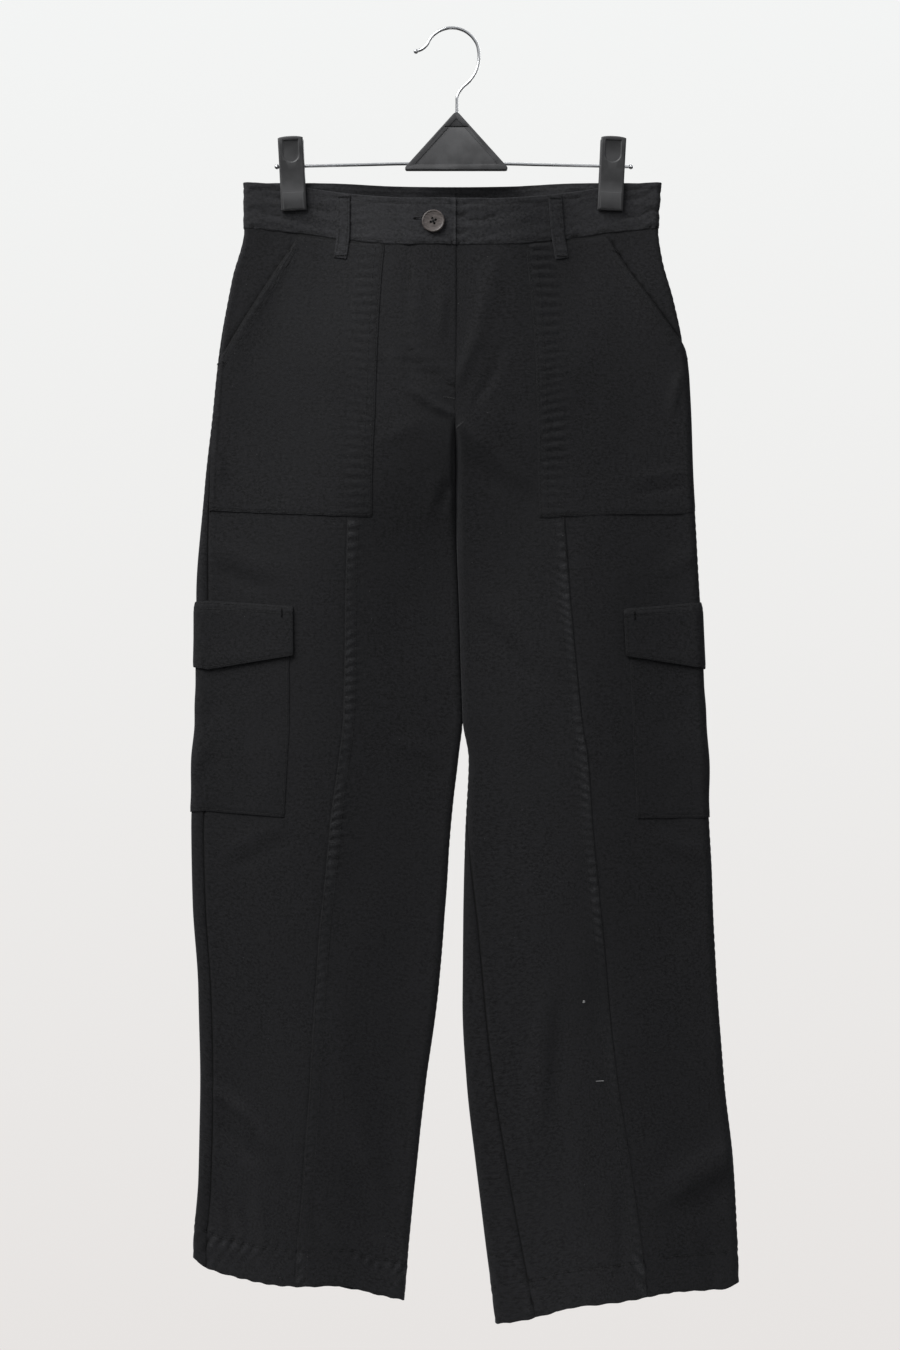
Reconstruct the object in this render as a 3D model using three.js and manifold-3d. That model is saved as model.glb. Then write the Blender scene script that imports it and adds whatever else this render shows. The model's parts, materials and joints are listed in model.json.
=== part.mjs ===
// Wide-leg cargo trousers hanging from a clip hanger.
// Millimetres, +Z up, the front faces -Y and the wearer's right is at -X.
// The origin is the inner top of the hanger's hook, where a rail bears, and
// "down" is always the distance below it.
import * as THREE from 'three';
import { mergeVertices } from 'three/addons/utils/BufferGeometryUtils.js';
import Module from 'manifold-3d';

const wasm = await Module();
wasm.setup();

// ---------------------------------------------------------------- driving dimensions

const CENTRE_X = 3.2; // centre front and centre back of the trousers
const WAIST_SEAM = 180; // down to the seam under the waistband, at the sides
const BAND_DEPTH = 42;
const FRONT_DIP = 17; // the centre front hangs this much lower than the centre back
const DIP_GONE = 0.23; // the share of the way to the hem over which that dip fades out
const FLY_END = 322; // down to the foot of the fly
const CROTCH = 410;
const FLAT_LEGS = 520; // from here down each leg is a flat tube of its own
const LEGS_PART = 623; // the inner edges touch down to here
const PART_SHIFT = 6.6; // and have drifted this far to the wearer's left there

const CLOTH = 1.2; // one layer of twill
const BAND_CLOTH = 2.4; // the waistband is doubled
const FLAP_CLOTH = 2.0;
const LOOP_CLOTH = 1.6;
const SEAM_GAP = 0.3;
const LAY_GAP = 0.4; // between a panel and what lies on it
const HEM_DEPTH = 32;

const FLY_WIDTH = 30; // the lapped strip beside the centre front
const FLY_LIFT = 1.8; // how far the lap stands out over the cloth under it
const FLY_FADE = 26; // the length under the fly over which the lap flattens
const BAND_LAP = 36; // how far the waistband's right end laps over the left one
const BAND_LIFT = BAND_CLOTH + SEAM_GAP;

const CLIP_X = 144; // clips, to each side of the hook
const CLIP_WIDTH = 22.5;
const CLIP_BITE = 168; // down to where the clips stop pressing the band flat
const CLIP_FADE = 310; // down to where the pinch has spread out
const PINCH_INWARDS = 95; // how far from a clip the pinch is felt, towards the centre
const PINCH_OUTWARDS = 44;
const PINCHED = 0.8; // half the gap between the pinched layers, to mid cloth
const LEG_LENGTH = 950; // about how far the hem hangs under the waist seam

const POCKET_HALF = 73; // cargo pocket, to each side of the side seam
const FLAP_HALF = 77;

const CLOTH_LOOK = { color: 0x222326, roughness: 0.86, metalness: 0 };
const TRIM_LOOK = { color: 0x1e1f22, roughness: 0.88, metalness: 0 };
const BUTTON_LOOK = { color: 0x6f6761, roughness: 0.42, metalness: 0 };
const PLASTIC_LOOK = { color: 0x47474a, roughness: 0.55, metalness: 0 };
const WIRE_LOOK = { color: 0xc9cbcd, roughness: 0.22, metalness: 1 };

// ---------------------------------------------------------------- small helpers

const mix = (a, b, t) => a + (b - a) * t;
const clamp = (t) => Math.min(1, Math.max(0, t));

function ease(from, to, at) {
  const t = clamp((at - from) / (to - from));
  return t * t * (3 - 2 * t);
}

// A table has one row a line, under the names of its columns.
function table(columns, rows) {
  const names = columns.split(' ');
  return rows.map((row) => Object.fromEntries(row.map((value, i) => [names[i], value])));
}

// Reads a column of a table at any place along another, on a smooth curve.
function read(rows, along, at, column) {
  let i = 0;
  while (i < rows.length - 2 && at > rows[i + 1][along]) i += 1;
  const gap = (k, name) => rows[k + 1][name] - rows[k][name];
  const rise = (k) => gap(k, column) / gap(k, along);
  const slope = (k) => {
    if (k === 0) return rise(0);
    if (k === rows.length - 1) return rise(k - 1);
    const product = rise(k - 1) * rise(k);
    return product > 0 ? (2 * product) / (rise(k - 1) + rise(k)) : 0;
  };
  const a = rows[i];
  const b = rows[i + 1];
  const span = b[along] - a[along];
  const t = clamp((at - a[along]) / span);
  const s = t * t * (3 - 2 * t);
  const bendA = t * (1 - t) * (1 - t) * span * slope(i);
  const bendB = t * t * (t - 1) * span * slope(i + 1);
  return mix(a[column], b[column], s) + bendA + bendB;
}

// ---------------------------------------------------------------- the garment's form

// Every horizontal section is a flat tube: half the body above the crotch, a leg
// below it. "around" runs from 0 at the centre front or inner edge, through 0.5
// at the outer edge, to 1 at the centre back or inner edge again.

// side and inner: X of the folded edges, inner only below where the legs part.
// hem: how low the hem hangs.
// seam: where the long front seam lies, as a share of the width from the inner edge.
// forward: how far the side seam and the inseam are turned onto the front.
const RIGHT = {
  toSide: -1,
  outline: table('down side inner', [
    [130, -186.5, 9],
    [180, -186.5, 9],
    [225, -197.4, 9],
    [279, -207.3, 9],
    [351, -215.4, 9],
    [410, -222.0, 9],
    [513, -229.5, 9],
    [623, -229.6, 9],
    [657, -231.5, 5.7],
    [720, -234.5, -1.4],
    [787, -233.0, -6.0],
    [865, -228.0, -12.4],
    [945, -226.2, -23.1],
    [1035, -228.3, -33.0],
    [1100, -232.7, -39.4],
    [1150, -233.0, -43.6],
  ]),
  hem: table('around down', [
    [0, 1144.3],
    [0.08, 1137.5],
    [0.15, 1128.6],
    [0.23, 1127.4],
    [0.3, 1126.0],
    [0.39, 1121.0],
    [0.45, 1115.5],
    [0.5, 1106.0],
    [0.62, 1119.0],
    [0.75, 1129.0],
    [0.9, 1139.0],
    [1, 1144.3],
  ]),
  seam: table('down share', [
    [180, 0.42],
    [440, 0.427],
    [720, 0.466],
    [883, 0.515],
    [1130, 0.517],
  ]),
  forward: table('down side inner', [
    [180, 1, 0],
    [300, 2.5, 0],
    [366, 5, 0],
    [431, 9, 0],
    [513, 14, 0],
    [720, 15.3, 0],
    [1140, 16, 0],
  ]),
  lean: 2.5,
};

const LEFT = {
  toSide: 1,
  outline: table('down side inner', [
    [130, 188.0, 10.6],
    [180, 185.0, 10.6],
    [207, 188.4, 10.6],
    [243, 198.3, 10.6],
    [279, 206.4, 10.6],
    [315, 211.5, 10.6],
    [410, 216.2, 10.6],
    [513, 222.4, 10.6],
    [623, 227.0, 10.6],
    [657, 228.4, 15.0],
    [710, 230.6, 13.0],
    [760, 233.4, 11.0],
    [800, 234.6, 10.3],
    [873, 238.5, 9.6],
    [945, 244.2, 13.2],
    [1017, 252.3, 21.3],
    [1089, 256.8, 30.3],
    [1170, 259.0, 39.8],
  ]),
  hem: table('around down', [
    [0, 1164.2],
    [0.06, 1161.0],
    [0.11, 1155.0],
    [0.16, 1147.5],
    [0.25, 1141.0],
    [0.38, 1133.4],
    [0.45, 1133.4],
    [0.5, 1128.2],
    [0.62, 1137.0],
    [0.75, 1146.0],
    [0.9, 1159.0],
    [1, 1164.2],
  ]),
  seam: table('down share', [
    [180, 0.44],
    [440, 0.452],
    [710, 0.52],
    [845, 0.568],
    [995, 0.596],
    [1140, 0.626],
  ]),
  forward: table('down side inner', [
    [180, -3, 0],
    [640, -4, 0],
    [700, -4, 2],
    [741, -4, 8],
    [816, -4, 18],
    [890, -4, 25],
    [965, -4, 29],
    [1070, -4, 34],
    [1165, -4, 41],
  ]),
  lean: -2.5,
};

// edge: radius of the folded edges. bulge: how far the middle stands out beyond it.
const BODY = table('down edge bulge', [
  [130, 3.0, 16],
  [180, 3.2, 18],
  [260, 4.0, 22],
  [350, 5.0, 23],
  [410, 5.6, 19],
  [520, 6.2, 13],
  [720, 6.6, 11],
  [900, 7.0, 9],
  [1170, 7.4, 10],
]);

// Soft folds: a ridge where lift is above 0, a trough where it is below.
const FOLDS = table('leg face x down toX toDown wide lift', [
  ['right', 'front', -195, 965, -164, 1066, 15, 3.0],
  ['right', 'front', -82, 1000, -46, 1072, 15, 2.6],
  ['right', 'front', -218, 1040, -220, 1112, 9, -3.0],
  ['right', 'back', -60, 930, -130, 1075, 17, 3.0],
  ['right', 'back', -190, 1010, -205, 1110, 13, -3.0],
  ['left', 'front', 195, 1042, 256, 1006, 13, 3.6],
  ['left', 'front', 198, 1066, 256, 1034, 11, -3.0],
  ['left', 'back', 90, 950, 150, 1100, 17, 3.2],
  ['left', 'back', 215, 1020, 235, 1125, 13, -3.0],
]);

// Flutes: the whole hem swings to and fro across the leg, more the lower it is.
const FLUTE_START = 860;
const FLUTE_FULL = 1150;
const FLUTE_SWING = 4.5;
const FLUTE_TURNS = 2.3; // half turns across the leg
const FLUTE_AHEAD = 0.2; // and where they begin
const FRONT_SHARE = 0.92; // the front stands out less than the seat
const BACK_SHARE = 1.08;

const dip = (around) => (around < 0.5 ? FRONT_DIP * (1 - ease(0.08, 0.5, around)) : 0);
const hemLine = (leg, around) => read(leg.hem, 'around', around > 1 ? around - 1 : around, 'down');

// How far the front (or back) centre edge has rolled in towards the crotch.
const rolled = (down) => ease(FLY_END + FLY_FADE, CROTCH, down);

function halfDepth(leg, share, down) {
  const edge = read(BODY, 'down', down, 'edge');
  const bulge = read(BODY, 'down', down, 'bulge');
  const bodyShape = Math.cos((Math.PI / 2) * share) ** 2;
  const legShape = Math.sin(Math.PI * share) ** 2;
  return edge + bulge * mix(bodyShape, legShape, ease(CROTCH - 60, FLAT_LEGS, down));
}

function pinch(x, down) {
  const inwards = CLIP_X - Math.abs(x);
  const reach = inwards > 0 ? PINCH_INWARDS : PINCH_OUTWARDS;
  const across = 1 - ease(CLIP_WIDTH * 0.6, reach, Math.abs(inwards));
  return across * (1 - ease(CLIP_BITE, CLIP_FADE, down));
}

function foldLift(legName, face, x, down) {
  let lift = 0;
  for (const fold of FOLDS) {
    if (fold.leg !== legName || fold.face !== face) continue;
    const runX = fold.toX - fold.x;
    const runDown = fold.toDown - fold.down;
    const length = Math.hypot(runX, runDown);
    const along = ((x - fold.x) * runX + (down - fold.down) * runDown) / length;
    const across = ((x - fold.x) * runDown - (down - fold.down) * runX) / length;
    const t = along / length;
    const ends = ease(-0.3, 0.3, t) * (1 - ease(0.7, 1.3, t));
    lift += fold.lift * ends * Math.exp(-((across / fold.wide) ** 2));
  }
  return lift;
}

// Lengths of one face of a section: inner rolled edge, flat middle, outer folded edge.
function faceLengths(leg, down) {
  const edge = read(BODY, 'down', down, 'edge');
  const inner = read(leg.outline, 'down', down, 'inner');
  const side = read(leg.outline, 'down', down, 'side');
  const roll = rolled(down);
  const depth = halfDepth(leg, 0, down);
  // How far the cloth has turned edge-on at the centre: two halves that face each other stand
  // half a wall further apart than two that lie edge to edge.
  const turned = (depth * roll) / Math.hypot(depth * roll, (edge * (1 - roll) * 2) / Math.PI);
  const touching = CENTRE_X + PART_SHIFT * clamp((down - CROTCH) / (LEGS_PART - CROTCH));
  const standOff = SEAM_GAP / 2 + (CLOTH / 2) * turned;
  const start = down < LEGS_PART ? touching + leg.toSide * standOff : inner;
  const width = Math.abs(side - start);
  const curl = (Math.PI / 2) * Math.sqrt((edge * edge + depth * depth) / 2);
  const first = mix(edge, curl, roll);
  const last = (Math.PI / 2) * edge;
  const middle = width - 2 * edge;
  return { edge, start, side, roll, depth, first, middle, last, all: first + middle + last };
}

const perimeter = (leg, down) => 2 * faceLengths(leg, down).all;

// The point of the cloth's mid layer at a place around a section.
function sectionPoint(legName, around, down) {
  const leg = legName === 'right' ? RIGHT : LEFT;
  const face = around <= 0.5 ? 'front' : 'back';
  const L = faceLengths(leg, down);
  const along = (face === 'front' ? around : 1 - around) * 2 * L.all;
  const span = Math.abs(L.side - L.start);
  let across;
  let depth;
  if (along < 0) {
    across = along;
    depth = halfDepth(leg, along / span, down);
  } else if (along < L.first) {
    const t = along / L.first;
    const turn = (t * Math.PI) / 2;
    across = L.edge * mix(t, 1 - Math.cos(turn), L.roll);
    depth = L.depth * (1 - L.roll + L.roll * Math.sin(turn));
  } else if (along < L.first + L.middle) {
    const share = (along - L.first) / L.middle;
    across = L.edge + L.middle * share;
    depth = halfDepth(leg, share, down);
  } else {
    const turn = clamp((L.all - along) / L.last) * (Math.PI / 2);
    across = span - L.edge * (1 - Math.cos(turn));
    depth = L.edge * Math.sin(turn);
  }
  const x = L.start + leg.toSide * across;
  const pinched = pinch(x, down);
  const share = clamp(across / span);
  const facing = face === 'front' ? -FRONT_SHARE : BACK_SHARE;
  const thin = Math.min(depth, PINCHED);
  const stood = mix(depth * Math.abs(facing), thin, pinched);
  const flat = clamp(depth / L.edge);
  const lift = foldLift(legName, face, x, down) * flat;
  const swing = Math.sin(Math.PI * (FLUTE_TURNS * share + FLUTE_AHEAD));
  const flute = FLUTE_SWING * ease(FLUTE_START, FLUTE_FULL, down) * swing;
  const lean = leg.lean * ease(CROTCH - 20, CROTCH + 60, down) * (1 - share) ** 2;
  const y = Math.sign(facing) * (stood + lift) + flute + lean;
  return new THREE.Vector3(x, y, -down);
}

// ---------------------------------------------------------------- seams and levels

const legOf = (legName) => (legName === 'right' ? RIGHT : LEFT);
const downAt = (legName, around, level) =>
  mix(WAIST_SEAM, hemLine(legOf(legName), around), level) +
  dip(around) * (1 - ease(0, DIP_GONE, level));

function levelOf(legName, around, down) {
  let low = -0.1;
  let high = 1.1;
  for (let i = 0; i < 40; i += 1) {
    const middle = (low + high) / 2;
    if (downAt(legName, around, middle) < down) low = middle;
    else high = middle;
  }
  return (low + high) / 2;
}

// A seam's place around the leg at a level: level 0 is the waist seam, 1 the hem.
function atShare(legName, share, level) {
  const down = downAt(legName, share / 2, level);
  const L = faceLengths(legOf(legName), down);
  const across = Math.abs(L.side - L.start) * share;
  return (L.first + across - L.edge) / (2 * L.all);
}

function frontSeam(legName, level) {
  const down = downAt(legName, 0.24, level);
  return atShare(legName, read(legOf(legName).seam, 'down', down, 'share'), level);
}

function sideSeam(legName, level) {
  const leg = legOf(legName);
  const down = downAt(legName, 0.5, level);
  return 0.5 - read(leg.forward, 'down', down, 'side') / perimeter(leg, down);
}

// The inseam as the front's edge (turn 0) or, once round the leg, as the back's (turn 1).
function inseam(legName, level, turn = 0) {
  const leg = legOf(legName);
  let around = 0;
  for (let i = 0; i < 3; i += 1) {
    const down = downAt(legName, turn + around, level);
    around = read(leg.forward, 'down', down, 'inner') / perimeter(leg, down);
  }
  return turn + around;
}

const millimetres = (legName, level, length) =>
  length / perimeter(legOf(legName), downAt(legName, 0.25, level));

// ---------------------------------------------------------------- cloth solids

// Below the crotch a section closes, so a place past its end is back at its start.
// Just above, where the edges roll in, it stops there, and higher up it runs straight on.
function wrapped(around, down) {
  const roll = rolled(down);
  if (roll >= 1) return around - Math.floor(around);
  if (roll > 0) return clamp(around);
  return around;
}

// Mid-layer point and outward direction of the cloth.
function clothAt(legName, around, down) {
  const reach = 0.6;
  const stepAround = reach / perimeter(legOf(legName), down);
  const a = sectionPoint(legName, wrapped(around - stepAround, down), down);
  const b = sectionPoint(legName, wrapped(around + stepAround, down), down);
  const above = sectionPoint(legName, around, down - reach);
  const below = sectionPoint(legName, around, down + reach);
  const normal = b.sub(a).cross(below.sub(above)).normalize();
  if (legName === 'left') normal.negate();
  return { point: sectionPoint(legName, wrapped(around, down), down), normal };
}

// A closed wall between two grids of points, rows by columns.
function wallGeometry(outer, inner) {
  const rows = outer.length;
  const cols = outer[0].length;
  const points = [...outer.flat(), ...inner.flat()];
  const back = rows * cols;
  const faces = [];
  const quad = (a, b, c, d) => faces.push(a, b, c, a, c, d);
  for (let j = 0; j < rows - 1; j += 1) {
    for (let i = 0; i < cols - 1; i += 1) {
      const a = j * cols + i;
      quad(a, a + cols, a + cols + 1, a + 1);
      quad(back + a, back + a + 1, back + a + cols + 1, back + a + cols);
    }
    const left = j * cols;
    const right = left + cols - 1;
    quad(left, back + left, back + left + cols, left + cols);
    quad(right, right + cols, back + right + cols, back + right);
  }
  const foot = (rows - 1) * cols;
  for (let i = 0; i < cols - 1; i += 1) {
    quad(i, i + 1, back + i + 1, back + i);
    quad(foot + i, back + foot + i, back + foot + i + 1, foot + i + 1);
  }
  const geometry = new THREE.BufferGeometry();
  const numbers = points.flatMap((point) => point.toArray());
  geometry.setAttribute('position', new THREE.Float32BufferAttribute(numbers, 3));
  geometry.setIndex(faces);
  return outward(geometry);
}

function outward(geometry) {
  const position = geometry.attributes.position;
  const index = geometry.index.array;
  const [a, b, c] = [new THREE.Vector3(), new THREE.Vector3(), new THREE.Vector3()];
  let volume = 0;
  for (let i = 0; i < index.length; i += 3) {
    a.fromBufferAttribute(position, index[i]);
    b.fromBufferAttribute(position, index[i + 1]);
    c.fromBufferAttribute(position, index[i + 2]);
    volume += a.dot(b.cross(c));
  }
  if (volume < 0) {
    for (let i = 0; i < index.length; i += 3) [index[i], index[i + 1]] = [index[i + 1], index[i]];
  }
  return geometry;
}

// Columns crowd together at the folded edges, where the cloth turns tightly.
const CROWD_PULL = 0.13;
const CROWD_REACH = 0.022;
const crowded = (around) => {
  let weight = around;
  for (const edge of [0, 0.5, 1]) weight += CROWD_PULL * Math.tanh((around - edge) / CROWD_REACH);
  return weight;
};

function uncrowded(weight) {
  let low = -0.2;
  let high = 1.2;
  for (let i = 0; i < 40; i += 1) {
    const middle = (low + high) / 2;
    if (crowded(middle) < weight) low = middle;
    else high = middle;
  }
  return (low + high) / 2;
}

const between = (a, b, share) => uncrowded(mix(crowded(a), crowded(b), share));
const shareOf = (a, b, around) => (crowded(around) - crowded(a)) / (crowded(b) - crowded(a));

const spread = (count) => Array.from({ length: count + 1 }, (_, i) => i / count);

// A piece of cloth: from and to are its side edges around the leg at a level, top
// and bottom its ends as levels across it, lift how far its middle stands off the
// cloth's mid layer, wall its thickness.
function clothPiece(piece) {
  const outer = [];
  const inner = [];
  for (const rowShare of piece.rows) {
    const outerRow = [];
    const innerRow = [];
    for (const share of piece.cols) {
      const level = mix(piece.top(share), piece.bottom(share), rowShare);
      const around = between(piece.from(level), piece.to(level), share);
      const down = downAt(piece.leg, around, level);
      const { point, normal } = clothAt(piece.leg, around, down);
      const lift = piece.lift(share, rowShare, around, down);
      const wall = piece.wall(share, rowShare, around, down);
      outerRow.push(point.clone().addScaledVector(normal, lift + wall / 2));
      innerRow.push(point.clone().addScaledVector(normal, lift - wall / 2));
    }
    outer.push(outerRow);
    inner.push(innerRow);
  }
  return wallGeometry(outer, inner);
}

const group = new THREE.Group();

function add(name, geometry, look) {
  const mesh = new THREE.Mesh(geometry, new THREE.MeshStandardMaterial(look));
  mesh.name = name;
  group.add(mesh);
  return mesh;
}

// ---------------------------------------------------------------- leg panels

const HALF_GAP = SEAM_GAP / 2;

// Rows of a panel: closer where the pinch spreads, and two close rows at the hem's top.
const HEM_LEVEL = 1 - HEM_DEPTH / LEG_LENGTH;
const HEM_STEP = 0.0016;
const TOP_LEVEL = 0.0006; // half a seam's gap under the waistband
const PANEL_ROWS = [
  TOP_LEVEL, 0.018, 0.038, 0.06, 0.085, 0.112, 0.142, 0.172, 0.2, 0.226, 0.25, 0.28, 0.32, 0.37, 0.42,
  0.47, 0.52, 0.57, 0.62, 0.67, 0.72, 0.77, 0.815, 0.855, 0.89, 0.925, HEM_LEVEL - HEM_STEP,
  HEM_LEVEL, 1,
];

const hemWall = (level) => mix(CLOTH, 2 * CLOTH, level > HEM_LEVEL - HEM_STEP / 2 ? 1 : 0);

function legPanel(legName, from, to, columns, lift = () => 0) {
  return clothPiece({
    leg: legName,
    rows: PANEL_ROWS,
    cols: spread(columns),
    top: () => 0,
    bottom: () => 1,
    from: (level) => from(level) + millimetres(legName, level, HALF_GAP),
    to: (level) => to(level) - millimetres(legName, level, HALF_GAP),
    lift: (share, level, around, down) => lift(around, down) - (hemWall(level) - CLOTH) / 2,
    wall: (share, level) => hemWall(level),
  });
}

// The right front laps over the left one as far down as the foot of the fly.
function flyLap(around, down) {
  const fromCentre = around * perimeter(RIGHT, down);
  const across = 1 - ease(FLY_WIDTH + 2, FLY_WIDTH + 12, fromCentre);
  return FLY_LIFT * across * (1 - ease(FLY_END, FLY_END + FLY_FADE, down));
}

// Under the lap the left front runs on past the centre as the fly extension.
function flyExtension(level) {
  const down = downAt('left', 0, level);
  const reach = (FLY_WIDTH - 2) * (1 - ease(FLY_END - 45, FLY_END - 3, down));
  return inseam('left', level) - millimetres('left', level, reach);
}

const seamOf = (legName) => (level) => frontSeam(legName, level);
const sideOf = (legName) => (level) => sideSeam(legName, level);

const rightCentre = (level) => inseam('right', level);

add('front_inner_right', legPanel('right', rightCentre, seamOf('right'), 8, flyLap), CLOTH_LOOK);
add('front_inner_left', legPanel('left', flyExtension, seamOf('left'), 9), CLOTH_LOOK);
for (const legName of ['right', 'left']) {
  const closing = (level) => inseam(legName, level, 1);
  add(`front_outer_${legName}`, legPanel(legName, seamOf(legName), sideOf(legName), 8), CLOTH_LOOK);
  add(`back_${legName}`, legPanel(legName, sideOf(legName), closing, 17), CLOTH_LOOK);
}

// ---------------------------------------------------------------- waistband

const BAND_MID = (BAND_CLOTH - CLOTH) / 2; // its inner face lies in line with the panels'
const BAND_FACE = BAND_MID + BAND_CLOTH / 2;
const BAND_ROWS = spread(3);
const BAND_COLUMNS = 28;
const LAP_SLOPE = [2, 16]; // the lap rises off the band under it over this much past its end

// One strip: the hidden left end, round the left side, the back and the right side
// to the lapped right end.
function bandPlaces() {
  const hidden = -(BAND_LAP - 2) / perimeter(LEFT, WAIST_SEAM);
  const hiddenEnd = [hidden, hidden / 2].map((around) => ({ leg: 'left', around }));
  const shares = spread(BAND_COLUMNS);
  const left = shares.map((share) => ({ leg: 'left', around: between(0, 1, share) }));
  const right = shares.slice(0, -1).map((share) => ({ leg: 'right', around: between(0, 1, share) }));
  return [...hiddenEnd, ...left, ...right.reverse()];
}

function bandLift(legName, around, down) {
  if (legName === 'left') return BAND_MID;
  const fromCentre = around * perimeter(RIGHT, down);
  const pastLap = fromCentre - BAND_LAP;
  return BAND_MID + BAND_LIFT * (1 - ease(LAP_SLOPE[0], LAP_SLOPE[1], pastLap));
}

function waistband() {
  const outer = [];
  const inner = [];
  for (const rowShare of BAND_ROWS) {
    const outerRow = [];
    const innerRow = [];
    for (const { leg, around } of bandPlaces()) {
      const down = WAIST_SEAM + dip(around) + mix(-BAND_DEPTH, -HALF_GAP, rowShare);
      const { point, normal } = clothAt(leg, around, down);
      const lift = bandLift(leg, around, down);
      outerRow.push(point.clone().addScaledVector(normal, lift + BAND_CLOTH / 2));
      innerRow.push(point.clone().addScaledVector(normal, lift - BAND_CLOTH / 2));
    }
    outer.push(outerRow);
    inner.push(innerRow);
  }
  return wallGeometry(outer, inner);
}

add('waistband', waistband(), TRIM_LOOK);

// ---------------------------------------------------------------- hip pockets

// Patches from the waist seam to the thigh, sewn into the side seam; the slanted
// opening starts on the waist seam, at "start" of the way across, and ends at "end".
const HIP_POCKETS = table('leg edge start end foot footSide', [
  ['right', 0.33, 0.742, 300, 440, 434],
  ['left', 0.345, 0.745, 296, 441, 434],
]);
const POCKET_LIFT = CLOTH + LAY_GAP;
const POCKET_FACE = POCKET_LIFT + CLOTH / 2;
const HIP_POCKET_EDGE_COLUMNS = 6;
const HIP_POCKET_MOUTH_COLUMNS = 6;
const HIP_POCKET_ROWS = 12;
const MOUTH_GAPE = 1.6;
const GAPE_REACH = 0.2; // the share of the pocket's height over which its mouth stands off
const NEAR_SIDE = 0.48; // a place around the leg just short of its folded edge

function hipPocket(pocket) {
  const { leg } = pocket;
  const from = (level) => atShare(leg, pocket.edge, level);
  const to = (level) => sideSeam(leg, level) - millimetres(leg, level, SEAM_GAP);
  const seamLevel = levelOf(leg, 0.25, WAIST_SEAM + dip(0.25) + SEAM_GAP);
  const endLevel = levelOf(leg, NEAR_SIDE, pocket.end);
  const corner = atShare(leg, pocket.start, seamLevel);
  const cornerShare = shareOf(from(seamLevel), to(seamLevel), corner);
  const alongMouth = (around) => clamp((around - corner) / (to(endLevel) - corner));
  const mouthLevel = (share) => {
    let level = seamLevel;
    for (let i = 0; i < 8; i += 1) {
      level = mix(seamLevel, endLevel, alongMouth(between(from(level), to(level), share)));
    }
    return level;
  };
  const footLevel = (share) => {
    const around = mix(pocket.edge / 2, NEAR_SIDE, share);
    return levelOf(leg, around, mix(pocket.foot, pocket.footSide, share));
  };
  const before = spread(HIP_POCKET_EDGE_COLUMNS).map((share) => cornerShare * share);
  const after = spread(HIP_POCKET_MOUTH_COLUMNS).slice(1).map((share) => mix(cornerShare, 1, share));
  const gape = (share, rowShare) => {
    const across = clamp((share - cornerShare) / (1 - cornerShare));
    return MOUTH_GAPE * Math.sin(Math.PI * across) * Math.exp(-((rowShare / GAPE_REACH) ** 2));
  };
  return clothPiece({
    leg,
    rows: spread(HIP_POCKET_ROWS),
    cols: [...before, ...after],
    top: mouthLevel,
    bottom: footLevel,
    from,
    to,
    lift: (share, rowShare) => POCKET_LIFT + gape(share, rowShare),
    wall: () => CLOTH,
  });
}

for (const pocket of HIP_POCKETS) add(`hip_pocket_${pocket.leg}`, hipPocket(pocket), CLOTH_LOOK);

// ---------------------------------------------------------------- cargo pockets and flaps

// Both lie over the side seam. Downs at the middle and at the two upright edges.
const CARGO = table('leg flapMiddle flapEdge pointMiddle pointEdge footMiddle footEdge', [
  ['right', 514.5, 519.5, 576, 563.5, 703, 708.5],
  ['left', 515.5, 522.0, 576, 564.0, 709, 709.5],
]);
const POCKET_DROP = 10; // the pocket's mouth is this far under the flap's top
const FLAP_LIFT = (CLOTH + FLAP_CLOTH) / 2 + LAY_GAP;
const FLAP_OVER = POCKET_FACE - CLOTH / 2 + FLAP_LIFT;
const POCKET_PUFF = 1.6;
const CARGO_COLUMNS = 18;
const CARGO_ROWS = 7;
const FLAP_ROWS = [0, 0.12, 0.4, 0.7, 1]; // it has risen over the pocket's mouth by the second

// A patch over the side seam between two tented lines, given by their downs.
function overSideSeam(legName, half, lines, rows, lift, wall) {
  const from = (level) => sideSeam(legName, level) - millimetres(legName, level, half);
  const to = (level) => sideSeam(legName, level) + millimetres(legName, level, half);
  const middleLevel = levelOf(legName, 0.5, lines.topMiddle);
  const lineLevel = (share, edge, middle) => {
    const around = between(from(middleLevel), to(middleLevel), share);
    const seam = sideSeam(legName, middleLevel);
    const fromSeam = Math.abs(around - seam) / millimetres(legName, middleLevel, half);
    return levelOf(legName, around, mix(middle, edge, fromSeam));
  };
  return clothPiece({
    leg: legName,
    rows,
    cols: spread(CARGO_COLUMNS),
    top: (share) => lineLevel(share, lines.topEdge, lines.topMiddle),
    bottom: (share) => lineLevel(share, lines.footEdge, lines.footMiddle),
    from,
    to,
    lift,
    wall: () => wall,
  });
}

// The filled part of a cargo pocket stands off the leg, lower down than its flap.
function pocketLift(share, rowShare) {
  const upright = ease(0.35, 0.65, rowShare) * (1 - ease(0.8, 1, rowShare));
  return POCKET_LIFT + POCKET_PUFF * Math.sin(Math.PI * share) * upright;
}

const flapLift = (share, rowShare) => mix(FLAP_LIFT, FLAP_OVER, ease(0, FLAP_ROWS[1], rowShare));

for (const row of CARGO) {
  const pocketLines = {
    topEdge: row.flapEdge + POCKET_DROP,
    topMiddle: row.flapMiddle + POCKET_DROP,
    footEdge: row.footEdge,
    footMiddle: row.footMiddle,
  };
  const rows = spread(CARGO_ROWS);
  const pocket = overSideSeam(row.leg, POCKET_HALF, pocketLines, rows, pocketLift, CLOTH);
  add(`cargo_pocket_${row.leg}`, pocket, CLOTH_LOOK);

  const flapLines = {
    topEdge: row.flapEdge,
    topMiddle: row.flapMiddle,
    footEdge: row.pointEdge,
    footMiddle: row.pointMiddle,
  };
  const flap = overSideSeam(row.leg, FLAP_HALF, flapLines, FLAP_ROWS, flapLift, FLAP_CLOTH);
  add(`cargo_flap_${row.leg}`, flap, TRIM_LOOK);
}

// ---------------------------------------------------------------- belt loops

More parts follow.
